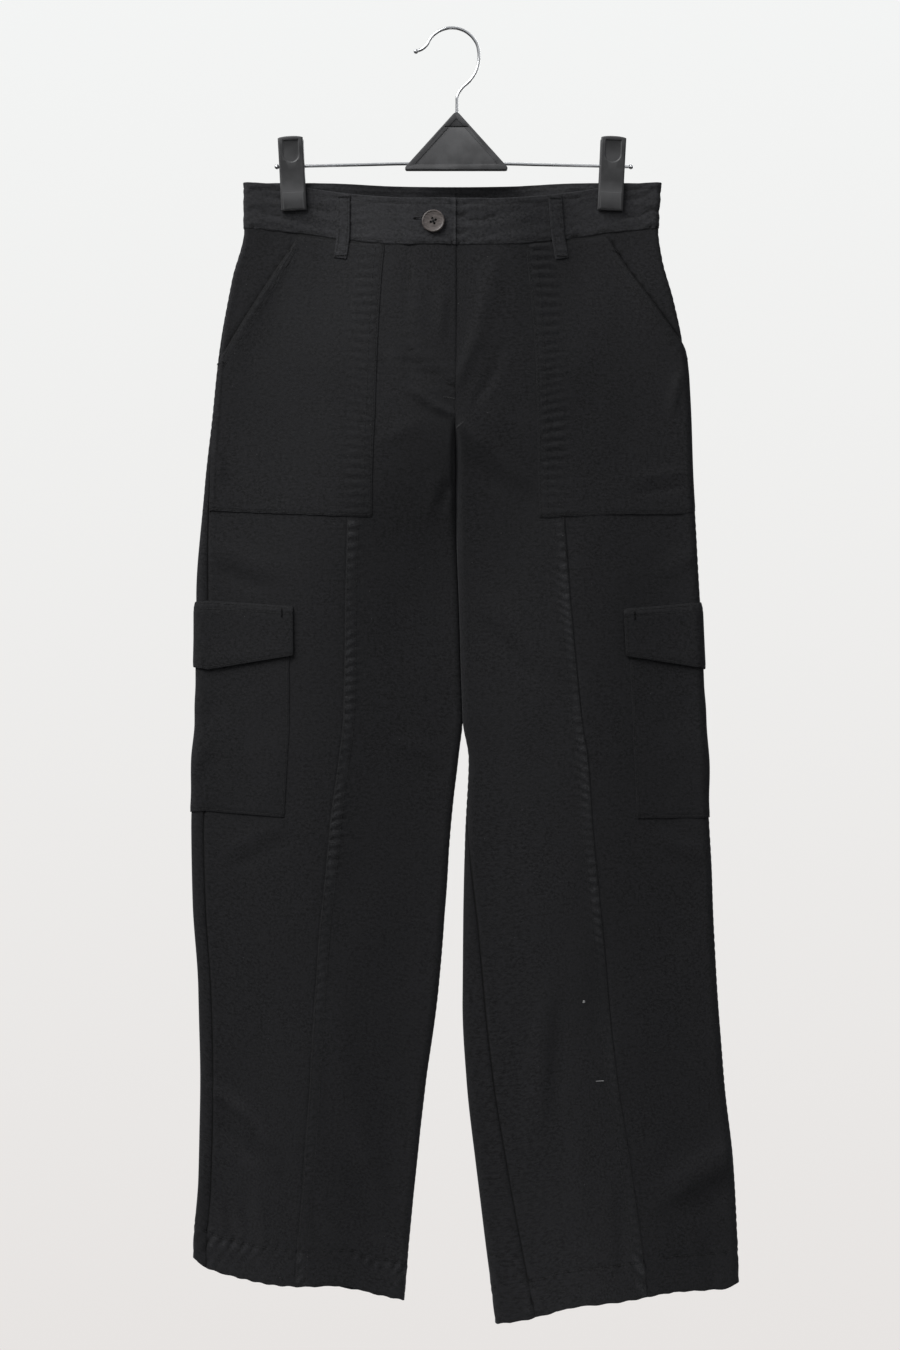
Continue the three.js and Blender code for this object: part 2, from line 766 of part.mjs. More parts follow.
const LOOP_WIDTH = 12;
const LOOP_TAIL = 17; // how far a loop runs on below the waist seam
const LOOP_ARCH = 1.2;
const LOOP_GAP = 0.8;
const LOOP_ROWS = 8;
const LOOP_INSET = 1; // a loop starts this far under the band's top edge

// place: around the leg at the band's top and at the loop's foot; base: the face
// that the foot is sewn to.
const LOOPS = table('name leg top foot base', [
  ['belt_loop_front_right', 'right', 0.262, 0.262, POCKET_FACE],
  ['belt_loop_front_left', 'left', 0.24, 0.254, POCKET_FACE],
  ['belt_loop_back_right', 'right', 0.74, 0.74, CLOTH / 2],
  ['belt_loop_back_left', 'left', 0.74, 0.74, CLOTH / 2],
  ['belt_loop_back_centre', 'left', 1, 1, CLOTH / 2],
]);

function beltLoop(loop) {
  const overBand = BAND_DEPTH - LOOP_INSET;
  const topDown = WAIST_SEAM + dip(loop.top) - overBand;
  const footDown = WAIST_SEAM + dip(loop.foot) + LOOP_TAIL;
  const topLevel = levelOf(loop.leg, loop.top, topDown);
  const footLevel = levelOf(loop.leg, loop.foot, footDown);
  const middle = (level) => mix(loop.top, loop.foot, (level - topLevel) / (footLevel - topLevel));
  const bandSide = BAND_FACE + LOOP_GAP + LOOP_CLOTH / 2;
  const footSide = loop.base + LOOP_GAP + LOOP_CLOTH / 2;
  const seamShare = overBand / (overBand + LOOP_TAIL);
  const arched = (rowShare) => Math.sin(Math.PI * Math.min(1, rowShare / (seamShare + 0.1))) ** 2;
  return clothPiece({
    leg: loop.leg,
    rows: spread(LOOP_ROWS),
    cols: spread(2),
    top: () => topLevel,
    bottom: () => footLevel,
    from: (level) => middle(level) - millimetres(loop.leg, level, LOOP_WIDTH / 2),
    to: (level) => middle(level) + millimetres(loop.leg, level, LOOP_WIDTH / 2),
    lift: (share, rowShare) =>
      mix(bandSide, footSide, ease(seamShare + 0.05, 1, rowShare)) + LOOP_ARCH * arched(rowShare),
    wall: () => LOOP_CLOTH,
  });
}

for (const loop of LOOPS) add(loop.name, beltLoop(loop), TRIM_LOOK);

// ---------------------------------------------------------------- joining and cutting

function toSolid(geometry) {
  const bare = geometry.clone();
  bare.deleteAttribute('normal');
  bare.deleteAttribute('uv');
  const merged = mergeVertices(bare, 1e-4);
  return new wasm.Manifold(
    new wasm.Mesh({
      numProp: 3,
      vertProperties: new Float32Array(merged.attributes.position.array),
      triVerts: new Uint32Array(merged.index.array),
    }),
  );
}

function fromSolid(solid) {
  const mesh = solid.getMesh();
  const points = new Float32Array(mesh.vertProperties);
  const geometry = new THREE.BufferGeometry();
  geometry.setAttribute('position', new THREE.BufferAttribute(points, 3));
  geometry.setIndex(new THREE.BufferAttribute(new Uint32Array(mesh.triVerts), 1));
  return geometry;
}

const circle = (radius) => new THREE.Shape().absarc(0, 0, radius, 0, 2 * Math.PI, false);

function extrude(shape, depth, curveSegments) {
  return new THREE.ExtrudeGeometry(shape, { depth, bevelEnabled: false, curveSegments });
}

const rod = (radius, length) => extrude(circle(radius), length, 4);

// ---------------------------------------------------------------- button

const BUTTON_RADIUS = 10.2;
const BUTTON_THICK = 2.9;
const BUTTON_FROM_CENTRE = 19.8;
const BUTTON_DOWN = 176.5;
const HOLE_RADIUS = 1.0;
const HOLE_SPREAD = 2.3;
const HOLE_TURN = 0.4;

// Half the button's section: in from its rim, and up from its back.
const BUTTON_SECTION = table('inwards up', [
  [BUTTON_RADIUS, 0],
  [1, 0],
  [0, 0.9],
  [0, 2.0],
  [0.8, BUTTON_THICK],
  [2, BUTTON_THICK],
  [3.2, 2.0],
  [BUTTON_RADIUS, 1.8],
]);

function button() {
  const t = BUTTON_THICK;
  const profile = BUTTON_SECTION.map(({ inwards, up }) => new THREE.Vector2(BUTTON_RADIUS - inwards, up));
  let solid = toSolid(new THREE.LatheGeometry(profile, 24));
  for (let i = 0; i < 4; i += 1) {
    const turn = HOLE_TURN + (i * Math.PI) / 2;
    const hole = rod(HOLE_RADIUS, 3 * t);
    hole.rotateX(-Math.PI / 2);
    hole.translate(HOLE_SPREAD * Math.cos(turn), -t, HOLE_SPREAD * Math.sin(turn));
    solid = solid.subtract(toSolid(hole));
  }
  return fromSolid(solid);
}

const buttonMesh = add('waist_button', button(), BUTTON_LOOK);
const buttonAround = BUTTON_FROM_CENTRE / perimeter(RIGHT, BUTTON_DOWN);
const buttonSeat = clothAt('right', buttonAround, BUTTON_DOWN);
buttonSeat.point.addScaledVector(buttonSeat.normal, BAND_FACE + BAND_LIFT + LAY_GAP);
buttonMesh.position.copy(buttonSeat.point);
buttonMesh.quaternion.setFromUnitVectors(new THREE.Vector3(0, 1, 0), buttonSeat.normal);

// ---------------------------------------------------------------- hanger

const WIRE_RADIUS = 1.4;
const HOOK_RADIUS = 24.3; // to the middle of the wire
const SHANK_X = 4.5;
const BODY_TOP = 74.3; // down to the hanger body's apex
const BODY_HEIGHT = 52.5;
const BODY_HALF = 46;
const BODY_THICK = 9;
const BAR_DOWN = 121;
const BAR_SAG = 2.6; // the bar's ends droop under the trousers
const BAR_STRAIGHT = 0.28; // the share of the bar inside the body, which stays straight
const BAR_ENDS = [-157.5, 161];
const FREE = 0.3; // clearance round the wires
const HOOK_BALL = 2.1;
const BAR_BALL = 2.2;

function wire(points, radius) {
  const options = {
    steps: 2 * points.length,
    extrudePath: new THREE.CatmullRomCurve3(points),
    bevelEnabled: false,
    curveSegments: 4,
  };
  return new THREE.ExtrudeGeometry(circle(radius), options);
}

function ball(point, radius) {
  const geometry = new THREE.SphereGeometry(radius, 10, 8);
  geometry.translate(point.x, point.y, point.z);
  return toSolid(geometry);
}

// The hook's wire outside its round part: the turned-out tip, and the neck down to
// the shank in the hanger's body.
const HOOK_TIP = table('x down', [
  [-32.4, 19.8],
  [-26.5, 17.4],
  [-22.4, 13.6],
]);
const HOOK_NECK = table('x down', [
  [22.9, 34.0],
  [17.0, 45.0],
  [8.6, 53.4],
  [5.0, 59.5],
  [SHANK_X, 67.0],
  [SHANK_X, BODY_TOP + 12],
]);
const HOOK_TURNS = [142, 124, 106, 88, 70, 52, 34, 16]; // degrees up from +X, on the round part

function hook() {
  const centreDown = HOOK_RADIUS - WIRE_RADIUS;
  const round = HOOK_TURNS.map((angle) => {
    const turn = THREE.MathUtils.degToRad(angle);
    return { x: HOOK_RADIUS * Math.cos(turn), down: centreDown - HOOK_RADIUS * Math.sin(turn) };
  });
  const places = [...HOOK_TIP, ...round, ...HOOK_NECK];
  const points = places.map(({ x, down }) => new THREE.Vector3(x, 0, -down));
  return fromSolid(toSolid(wire(points, WIRE_RADIUS)).add(ball(points[0], HOOK_BALL)));
}

// How far the bar droops at a share of the way to its end.
const droop = (share) => BAR_SAG * Math.max(0, (share - BAR_STRAIGHT) / (1 - BAR_STRAIGHT));

function bar() {
  const points = [];
  for (const share of [-1, -0.75, -0.5, -BAR_STRAIGHT, 0, BAR_STRAIGHT, 0.5, 0.75, 1]) {
    const x = share < 0 ? -share * BAR_ENDS[0] : share * BAR_ENDS[1];
    points.push(new THREE.Vector3(x, 0, -BAR_DOWN - droop(Math.abs(share))));
  }
  const tips = [points[0], points[points.length - 1]].map((point) => ball(point, BAR_BALL));
  return fromSolid(toSolid(wire(points, WIRE_RADIUS)).add(tips[0]).add(tips[1]));
}

const BODY_BEVEL = 1.4;
const CORNER = 5; // how far back from a lower corner its rounding starts
const APEX_HALF = 3;

// A triangle with rounded corners, its rim bevelled, bored for the hook and the bar.
function hangerBody() {
  const bevel = BODY_BEVEL;
  const half = BODY_HALF - bevel;
  const top = -BODY_TOP - bevel;
  const foot = -BODY_TOP - BODY_HEIGHT + bevel;
  const shape = new THREE.Shape();
  shape.moveTo(-half + CORNER, foot);
  shape.lineTo(half - CORNER, foot);
  shape.quadraticCurveTo(half + 1.5, foot, half - 1.5, foot + CORNER + 1);
  shape.lineTo(APEX_HALF, top - 1.6);
  shape.quadraticCurveTo(0, top + 1, -APEX_HALF, top - 1.6);
  shape.lineTo(-half + 1.5, foot + CORNER + 1);
  shape.quadraticCurveTo(-half - 1.5, foot, -half + CORNER, foot);
  const plate = new THREE.ExtrudeGeometry(shape, {
    depth: BODY_THICK - 2 * bevel,
    bevelThickness: bevel,
    bevelSize: bevel,
    bevelSegments: 1,
    curveSegments: 4,
  });
  plate.rotateX(Math.PI / 2);
  plate.translate(SHANK_X - 0.6, BODY_THICK / 2 - bevel, 0);
  const shankBore = rod(WIRE_RADIUS + FREE, 20);
  shankBore.translate(SHANK_X, 0, -BODY_TOP - 12.5);
  const barBore = rod(WIRE_RADIUS + FREE, 3 * BODY_HALF);
  barBore.rotateY(Math.PI / 2);
  barBore.translate(-1.5 * BODY_HALF, 0, -BAR_DOWN);
  return fromSolid(toSolid(plate).subtract(toSolid(shankBore)).subtract(toSolid(barBore)));
}

add('hanger_hook', hook(), WIRE_LOOK);
add('hanger_bar', bar(), WIRE_LOOK);
add('hanger_body', hangerBody(), PLASTIC_LOOK);

// ---------------------------------------------------------------- clips

const CLIP_TOP = -26; // from the bar, along the clip
const CLIP_FOOT = 40.5;
const CLIP_INNER = 2.95; // from the clamped plane to the jaw's pad
const CLIP_TILT = 0.05; // the clips lean in towards the hook
const THUMB_HALF = 7.6;
const THUMB_FOOT = 9; // from the bar up to where the thumb's hollow turns round
const THUMB_SLANT = 0.09;
const THUMB_OUT = 5.75; // from the clamped plane to the hollow's floor

// A jaw's side view: out from the clamped plane, and along from the bar.
function jaw() {
  const shape = new THREE.Shape();
  const groove = WIRE_RADIUS + FREE;
  const face = FREE / 2;
  shape.moveTo(face, -5);
  shape.lineTo(5.2, CLIP_TOP + 1);
  shape.quadraticCurveTo(6.2, CLIP_TOP, 8.6, CLIP_TOP + 0.8);
  shape.lineTo(6.4, -2);
  shape.lineTo(6.2, 14);
  shape.lineTo(7.0, 17);
  shape.lineTo(6.6, CLIP_FOOT - 1);
  shape.lineTo(5.8, CLIP_FOOT);
  shape.lineTo(CLIP_INNER, CLIP_FOOT);
  shape.lineTo(CLIP_INNER, 11);
  shape.lineTo(face, 6);
  shape.lineTo(face, Math.sqrt(groove ** 2 - face ** 2));
  for (const turn of [60, 30, 0, -30, -60]) {
    const angle = THREE.MathUtils.degToRad(turn);
    shape.lineTo(groove * Math.cos(angle), groove * Math.sin(angle));
  }
  shape.lineTo(face, -Math.sqrt(groove ** 2 - face ** 2));
  shape.closePath();
  const plate = extrude(shape, CLIP_WIDTH, 3);
  plate.translate(0, 0, -CLIP_WIDTH / 2);
  const basis = new THREE.Matrix4().makeBasis(
    new THREE.Vector3(0, -1, 0),
    new THREE.Vector3(0, 0, -1),
    new THREE.Vector3(1, 0, 0),
  );
  plate.applyMatrix4(basis);
  return fromSolid(toSolid(plate).subtract(toSolid(thumbRecess())));
}

// The thumb's U-shaped hollow in the upper half of a jaw.
function thumbRecess() {
  const half = THUMB_HALF;
  const above = -CLIP_TOP + 14;
  const shape = new THREE.Shape();
  shape.moveTo(-half, above);
  shape.lineTo(-half, THUMB_FOOT);
  shape.absarc(0, THUMB_FOOT, half, Math.PI, 2 * Math.PI, false);
  shape.lineTo(half, above);
  shape.closePath();
  const cutter = extrude(shape, 10, 5);
  cutter.rotateX(Math.PI / 2 + THUMB_SLANT);
  cutter.translate(0, -THUMB_OUT, 0);
  return cutter;
}

for (const [side, toSide] of [['right', -1], ['left', 1]]) {
  const x = toSide * CLIP_X;
  const clip = new THREE.Group();
  clip.position.set(x, 0, -BAR_DOWN - droop(x / (x < 0 ? BAR_ENDS[0] : BAR_ENDS[1])));
  clip.rotation.y = toSide * CLIP_TILT;
  const front = add(`clip_front_${side}`, jaw(), PLASTIC_LOOK);
  const back = add(`clip_back_${side}`, jaw(), PLASTIC_LOOK);
  back.rotation.z = Math.PI;
  clip.add(front, back);
  group.add(clip);
}

export default group;
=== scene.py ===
# %% [markdown]
# # Wide-leg cargo trousers on a clip hanger
#
# The trousers hang flat by their waistband, so every panel, pocket, flap and loop can be
# drawn on one form: a pair of flat cloth tubes, joined above the crotch. This lesson first
# writes that form down as a map, from a place round the leg and a height to a point in
# space, and then lays each piece of cloth on it, a little further out where it is sewn on
# top of another. Sizes are in millimetres, as in a paper pattern, and are turned into
# Blender's metres when a mesh is made.

# %% Load the frame
import json
import math
from types import SimpleNamespace

import bmesh
import bpy
import numpy as np
from mathutils import Matrix, Vector

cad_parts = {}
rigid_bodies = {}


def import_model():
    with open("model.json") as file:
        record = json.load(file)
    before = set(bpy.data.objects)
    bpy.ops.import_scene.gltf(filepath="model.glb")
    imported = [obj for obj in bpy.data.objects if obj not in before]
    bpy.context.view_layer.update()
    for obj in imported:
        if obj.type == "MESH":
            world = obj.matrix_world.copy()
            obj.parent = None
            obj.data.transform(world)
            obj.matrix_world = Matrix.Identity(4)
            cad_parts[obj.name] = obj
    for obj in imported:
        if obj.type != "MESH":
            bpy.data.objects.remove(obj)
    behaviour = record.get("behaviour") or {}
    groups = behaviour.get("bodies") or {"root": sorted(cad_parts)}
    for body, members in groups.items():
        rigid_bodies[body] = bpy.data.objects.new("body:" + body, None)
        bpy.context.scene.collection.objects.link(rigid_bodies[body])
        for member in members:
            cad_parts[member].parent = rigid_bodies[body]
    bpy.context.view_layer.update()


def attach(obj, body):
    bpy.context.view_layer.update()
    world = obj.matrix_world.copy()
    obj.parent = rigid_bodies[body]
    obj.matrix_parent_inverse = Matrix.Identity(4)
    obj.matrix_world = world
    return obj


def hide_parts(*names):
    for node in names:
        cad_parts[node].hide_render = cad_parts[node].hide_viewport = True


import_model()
MM = 0.001

# %% [markdown]
# ## The camera
#
# The trousers are looked at straight from the front, level with their middle, from far
# enough away that their edges hardly taper.

# %% Camera
SCENE = bpy.context.scene
VIEW_CENTRE = Vector((-1.8, 0, -581)) * MM
VIEW_HEIGHT = 1215 * MM
VIEW_DISTANCE = 2.4
SENSOR = 36


def add_object(name, data):
    item = bpy.data.objects.new(name, data)
    SCENE.collection.objects.link(item)
    return item


def make_camera():
    data = bpy.data.cameras.new("camera")
    data.sensor_width = SENSOR
    data.lens = SENSOR * VIEW_DISTANCE / VIEW_HEIGHT
    camera = add_object("camera", data)
    camera.location = VIEW_CENTRE - Vector((0, VIEW_DISTANCE, 0))
    camera.rotation_euler = (math.pi / 2, 0, 0)
    SCENE.camera = camera
    print("Lens of", round(data.lens, 1), "mm")


make_camera()

# %% [markdown]
# ## The form that the cloth hangs in
#
# Each leg is a flat tube whose two folded edges are read from a short table, and whose
# thickness comes from another. A smooth curve through the rows of a table gives any place
# between them. The two halves of the body are the same tubes above the crotch, opened at
# the centre.

# %% Curves and tables
def mix(a, b, t):
    return a + (b - a) * t


def ease(start, end, at):
    t = np.clip((at - start) / (end - start), 0, 1)
    return t * t * (3 - 2 * t)


def bell(distance, wide=1):
    """1 on a line, falling softly away on both sides of it."""
    return np.exp(-((distance / wide) ** 2))


def inwards(distance, wide):
    """1 at an edge and outside it, dying away towards the inside."""
    return np.exp(-np.maximum(distance, 0) / wide)


def table(columns, rows):
    return {name: np.array(values) for name, values in zip(columns.split(), zip(*rows))}


def row_for(rows, leg):
    """The numbers of one leg, from a table that has a row for each."""
    i = list(rows["leg"]).index(leg)
    return {name: float(column[i]) for name, column in rows.items() if name != "leg"}


def read(rows, along, at, column):
    """A column of a table at any place along another, on a smooth curve that never overshoots."""
    x, y = rows[along], rows[column]
    rise = np.diff(y) / np.diff(x)
    product, total = rise[:-1] * rise[1:], rise[:-1] + rise[1:]
    turning = product <= 0
    middle = np.where(turning, 0, 2 * product / np.where(turning, 1, total))
    slope = np.concatenate([rise[:1], middle, rise[-1:]])
    i = np.clip(np.searchsorted(x, at) - 1, 0, len(x) - 2)
    span = x[i + 1] - x[i]
    t = np.clip((at - x[i]) / span, 0, 1)
    bends = t * (1 - t) ** 2 * span * slope[i] + t * t * (t - 1) * span * slope[i + 1]
    return mix(y[i], y[i + 1], t * t * (3 - 2 * t)) + bends

# %% Sizes of the trousers
CENTRE_X = 3.2  # centre front and back; the trousers hang a little askew
WAIST_SEAM = 180  # down to the seam under the waistband, at the sides
BAND_DEPTH = 42
FRONT_DIP = 17  # the centre front hangs this much lower than the back
DIP_GONE = 0.23
FLY_END = 322
FLY_FADE = 26
CROTCH = 410
FLAT_LEGS = 520
LEGS_PART = 623
PART_SHIFT = 6.6
LEG_LENGTH = 950
HEM_DEPTH = 32
CLOTH = 1.2
BAND_CLOTH = 2.4
LAY_GAP = 0.4
FLY_WIDTH = 30
FLY_LIFT = 1.05
BAND_LAP = 36
BAND_LIFT = 1.4

RIGHT = {
    "side": -1,
    "outline": table("down side inner", [
        (130, -186.5, 9), (180, -186.5, 9), (225, -197.4, 9), (279, -207.3, 9),
        (351, -215.4, 9), (410, -222.0, 9), (513, -229.5, 9), (623, -229.6, 9),
        (657, -231.5, 5.7), (720, -234.5, -1.4), (787, -233.0, -6.0), (865, -228.0, -12.4),
        (945, -226.2, -23.1), (1035, -228.3, -33.0), (1100, -232.7, -39.4), (1150, -233.0, -43.6),
    ]),
    "hem": table("around down", [
        (0, 1144.3), (0.08, 1137.5), (0.15, 1128.6), (0.23, 1127.4), (0.3, 1126.0), (0.39, 1121.0),
        (0.45, 1115.5), (0.5, 1106.0), (0.62, 1119.0), (0.75, 1129.0), (0.9, 1139.0), (1, 1144.3),
    ]),
    "seam": table("down share", [(180, 0.42), (440, 0.427), (720, 0.466), (883, 0.515), (1130, 0.517)]),
    "forward": table("down side inner", [
        (180, 1.0, 0.0), (300, 2.5, 0.0), (366, 5.0, 0.0), (431, 9.0, 0.0), (513, 14.0, 0.0),
        (720, 15.3, 0.0), (1140, 16.0, 0.0),
    ]),
    "lean": 2.5,
}
LEFT = {
    "side": 1,
    "outline": table("down side inner", [
        (130, 188.0, 10.6), (180, 185.0, 10.6), (207, 188.4, 10.6), (243, 198.3, 10.6),
        (279, 206.4, 10.6), (315, 211.5, 10.6), (410, 216.2, 10.6), (513, 222.4, 10.6),
        (623, 227.0, 10.6), (657, 228.4, 15.0), (710, 230.6, 13.0), (760, 233.4, 11.0),
        (800, 234.6, 10.3), (873, 238.5, 9.6), (945, 244.2, 13.2), (1017, 252.3, 21.3),
        (1089, 256.8, 30.3), (1170, 259.0, 39.8),
    ]),
    "hem": table("around down", [
        (0, 1164.2), (0.06, 1161.0), (0.11, 1155.0), (0.16, 1147.5), (0.25, 1141.0), (0.38, 1133.4),
        (0.45, 1133.4), (0.5, 1128.2), (0.62, 1137.0), (0.75, 1146.0), (0.9, 1159.0), (1, 1164.2),
    ]),
    "seam": table("down share", [
        (180, 0.44), (440, 0.452), (710, 0.52), (845, 0.568), (995, 0.596), (1140, 0.626),
    ]),
    "forward": table("down side inner", [
        (180, -3.0, 0.0), (640, -4.0, 0.0), (700, -4.0, 2.0), (741, -4.0, 8.0), (816, -4.0, 18.0),
        (890, -4.0, 25.0), (965, -4.0, 29.0), (1070, -4.0, 34.0), (1165, -4.0, 41.0),
    ]),
    "lean": -2.5,
}
LEGS = {"right": RIGHT, "left": LEFT}

# Radius of the folded edges, and how far the middle stands out beyond it.
BODY = table("down edge bulge", [
    (130, 3.0, 16), (180, 3.2, 18), (260, 4.0, 22), (350, 5.0, 23), (410, 5.6, 19),
    (520, 6.2, 13), (720, 6.6, 11), (900, 7.0, 9), (1170, 7.4, 10),
])
print(len(RIGHT["outline"]["down"]) + len(LEFT["outline"]["down"]), "heights give the outline")

# %% [markdown]
# ### Folds and creases
#
# The large folds are soft ridges and troughs, each a line on one face of one leg with a
# width and a lift. The first rows are the ones that the solids have too. The rest are
# the smaller creases of worn twill: the drag under the fly, the sag behind the pockets,
# the slack behind the knees, and the flutes that fade upwards from the hems. No two are
# alike, and the back has its own.

# %% Folds
FOLDS = table("leg face x down to_x to_down wide lift", [
    ("right", "front", -195, 965, -164, 1066, 15, 3.0),
    ("right", "front", -82, 1000, -46, 1072, 15, 2.6),
    ("right", "front", -218, 1040, -220, 1112, 9, -3.0),
    ("right", "back", -60, 930, -130, 1075, 17, 3.0),
    ("right", "back", -190, 1010, -205, 1110, 13, -3.0),
    ("left", "front", 195, 1042, 256, 1006, 13, 3.6),
    ("left", "front", 198, 1066, 256, 1034, 13, -2.2),
    ("left", "back", 90, 950, 150, 1100, 17, 3.2),
    ("left", "back", 215, 1020, 235, 1125, 13, -3.0),
    # the fly: the ridge that drags round its foot, and the hollow under it
    ("right", "front", -55, 294, -38, 326, 4.0, 1.6),
    ("right", "front", -39, 325, -11, 344, 3.4, 2.2),
    ("right", "front", -16, 342, 2, 349, 3.2, 1.6),
    ("right", "front", -42, 300, -18, 322, 3.4, -1.5),
    ("right", "front", -62, 300, -42, 334, 5.0, -0.9),
    ("right", "front", -9, 240, -10, 276, 5.0, 1.2),
    ("right", "front", -30, 232, -34, 270, 7.0, 0.5),
    ("left", "front", 38, 212, 22, 280, 6.5, 1.8),
    ("left", "front", 23, 276, 4, 322, 5.5, 1.5),
    ("left", "front", 44, 286, 34, 318, 3.4, -1.6),
    ("left", "front", 34, 316, 22, 337, 3.4, -1.3),
    # the crotch: creases that run out of it down both thighs
    ("right", "front", -2, 408, -10, 432, 3.6, -1.7),
    ("right", "front", -14, 404, -22, 440, 5.0, 1.1),
    ("right", "front", -30, 356, -62, 372, 7.0, 0.8),
    ("left", "front", 4, 356, 30, 378, 6.0, 2.0),
    ("left", "front", 28, 377, 66, 410, 8.0, 1.8),
    ("left", "front", 14, 386, 40, 416, 5.0, -1.2),
    ("left", "front", 32, 536, 75, 586, 6.0, -1.8),
    ("left", "front", 40, 520, 86, 572, 9.0, 0.9),
    # the sides: slack over the pockets
    ("right", "front", -214, 466, -160, 490, 11.0, 1.3),
    ("right", "front", -208, 488, -168, 504, 7.0, -0.9),
    ("right", "front", -212, 376, -206, 402, 5.0, 1.4),
    ("left", "front", 205, 310, 197, 345, 4.5, 1.4),
    ("left", "front", 168, 404, 207, 399, 4.5, 0.8),
    ("left", "front", 164, 418, 207, 413, 4.0, -0.7),
    ("left", "front", 222, 470, 186, 492, 9.0, 0.9),
    ("right", "front", -198, 737, -152, 714, 8.0, 0.8),
    ("right", "front", -194, 754, -150, 731, 7.0, -0.5),
    ("left", "front", 226, 742, 184, 728, 8.0, 1.0),
    # the knees
    ("right", "front", -46, 642, -14, 655, 7.0, 0.9),
    ("right", "front", -150, 640, -172, 700, 14.0, 0.8),
    ("right", "front", -70, 650, -95, 800, 18.0, -0.9),
    ("left", "front", 60, 600, 78, 760, 16.0, 0.9),
    ("left", "front", 140, 800, 132, 930, 13.0, -1.0),
    # the shins, down to the hems
    ("right", "front", -217, 952, -187, 974, 5.5, 2.4),
    ("right", "front", -190, 970, -165, 1001, 5.5, 2.4),
    ("right", "front", -168, 996, -156, 1026, 5.0, 2.0),
    ("right", "front", -208, 984, -178, 1014, 7.0, -2.1),
    ("right", "front", -203, 1052, -196, 1092, 4.5, -2.0),
    ("right", "front", -175, 1040, -167, 1092, 4.5, 1.7),
    ("right", "front", -186, 1050, -181, 1096, 4.0, -1.3),
    ("right", "front", -103, 880, -80, 1013, 12.0, 2.0),
    ("right", "front", -82, 1008, -47, 1080, 5.5, 2.2),
    ("right", "front", -95, 1026, -64, 1086, 7.0, -1.8),
    ("right", "front", -128, 1010, -120, 1085, 7.0, -1.1),
    ("left", "front", 187, 1055, 253, 1018, 5.0, 1.1),
    ("left", "front", 195, 1068, 253, 1036, 5.5, 0.6),
    ("left", "front", 81, 880, 77, 996, 9.0, 2.4),
    ("left", "front", 98, 868, 94, 968, 8.0, -1.4),
    ("left", "front", 112, 990, 116, 1070, 8.0, 1.3),
    ("left", "front", 150, 1050, 152, 1120, 5.5, -1.4),
    ("left", "front", 228, 1080, 236, 1140, 5.0, -1.4),
    # the back
    ("right", "back", -60, 300, -150, 345, 11.0, 1.2),
    ("right", "back", -30, 396, -120, 452, 9.0, 1.6),
    ("right", "back", -40, 440, -110, 500, 8.0, -1.2),
    ("right", "back", -120, 620, -70, 740, 14.0, 1.2),
    ("right", "back", -170, 800, -120, 860, 11.0, -1.2),
    ("right", "back", -96, 1000, -60, 1080, 8.0, 1.4),
    ("left", "back", 70, 296, 150, 350, 11.0, 1.1),
    ("left", "back", 36, 402, 116, 446, 9.0, 1.5),
    ("left", "back", 50, 436, 120, 506, 9.0, -1.1),
    ("left", "back", 130, 640, 86, 770, 14.0, 1.1),
    ("left", "back", 180, 820, 120, 900, 11.0, -1.3),
    ("left", "back", 120, 1010, 96, 1090, 8.0, 1.2),
])
FLUTE_START, FLUTE_FULL = 860, 1150
FLUTE_SWING = 4.5
FLUTE_TURNS, FLUTE_AHEAD = 2.3, 0.2
FRONT_SHARE, BACK_SHARE = 0.92, 1.08


def fold_lift(leg_name, front, x, down):
    lift = np.zeros(np.broadcast(x, down).shape)
    for i, owner in enumerate(FOLDS["leg"]):
        if owner != leg_name:
            continue
        fold = {name: column[i] for name, column in FOLDS.items()}
        run_x, run_down = fold["to_x"] - fold["x"], fold["to_down"] - fold["down"]
        length = math.hypot(run_x, run_down)
        along = ((x - fold["x"]) * run_x + (down - fold["down"]) * run_down) / length**2
        across = ((x - fold["x"]) * run_down - (down - fold["down"]) * run_x) / length
        ends = ease(-0.3, 0.3, along) * (1 - ease(0.7, 1.3, along))
        here = front if fold["face"] == "front" else ~front
        lift += np.where(here, fold["lift"] * ends * bell(across, fold["wide"]), 0)
    return lift


print(len(FOLDS["leg"]), "folds and creases")

# %% [markdown]
# ### The map
#
# A place is given by how far round the leg it is, from 0 at the centre front through 0.5
# at the outer edge to 1 at the centre back, and by how far down. The map answers with the
# middle of the cloth there and the direction in which its outside faces.

# %% Sections through a leg
CLIP_X = 144
CLIP_WIDTH = 22.5
CLIP_BITE, CLIP_FADE = 168, 310
PINCH_INWARDS, PINCH_OUTWARDS = 95, 44
PINCHED = 0.8


def pinch(x, down):
    """How far the clips press front and back together, from 0 to 1."""
    to_middle = CLIP_X - np.abs(x)
    reach = np.where(to_middle > 0, PINCH_INWARDS, PINCH_OUTWARDS)
    near = CLIP_WIDTH * 0.6
    across = 1 - ease(0, 1, (np.abs(to_middle) - near) / (reach - near))
    return across * (1 - ease(CLIP_BITE, CLIP_FADE, down))


def rolled(down):
    return ease(FLY_END + FLY_FADE, CROTCH, down)


def half_depth(share, down):
    edge = read(BODY, "down", down, "edge")
    bulge = read(BODY, "down", down, "bulge")
    body, leg = np.cos(math.pi / 2 * share) ** 2, np.sin(math.pi * share) ** 2
    return edge + bulge * mix(body, leg, ease(CROTCH - 60, FLAT_LEGS, down))


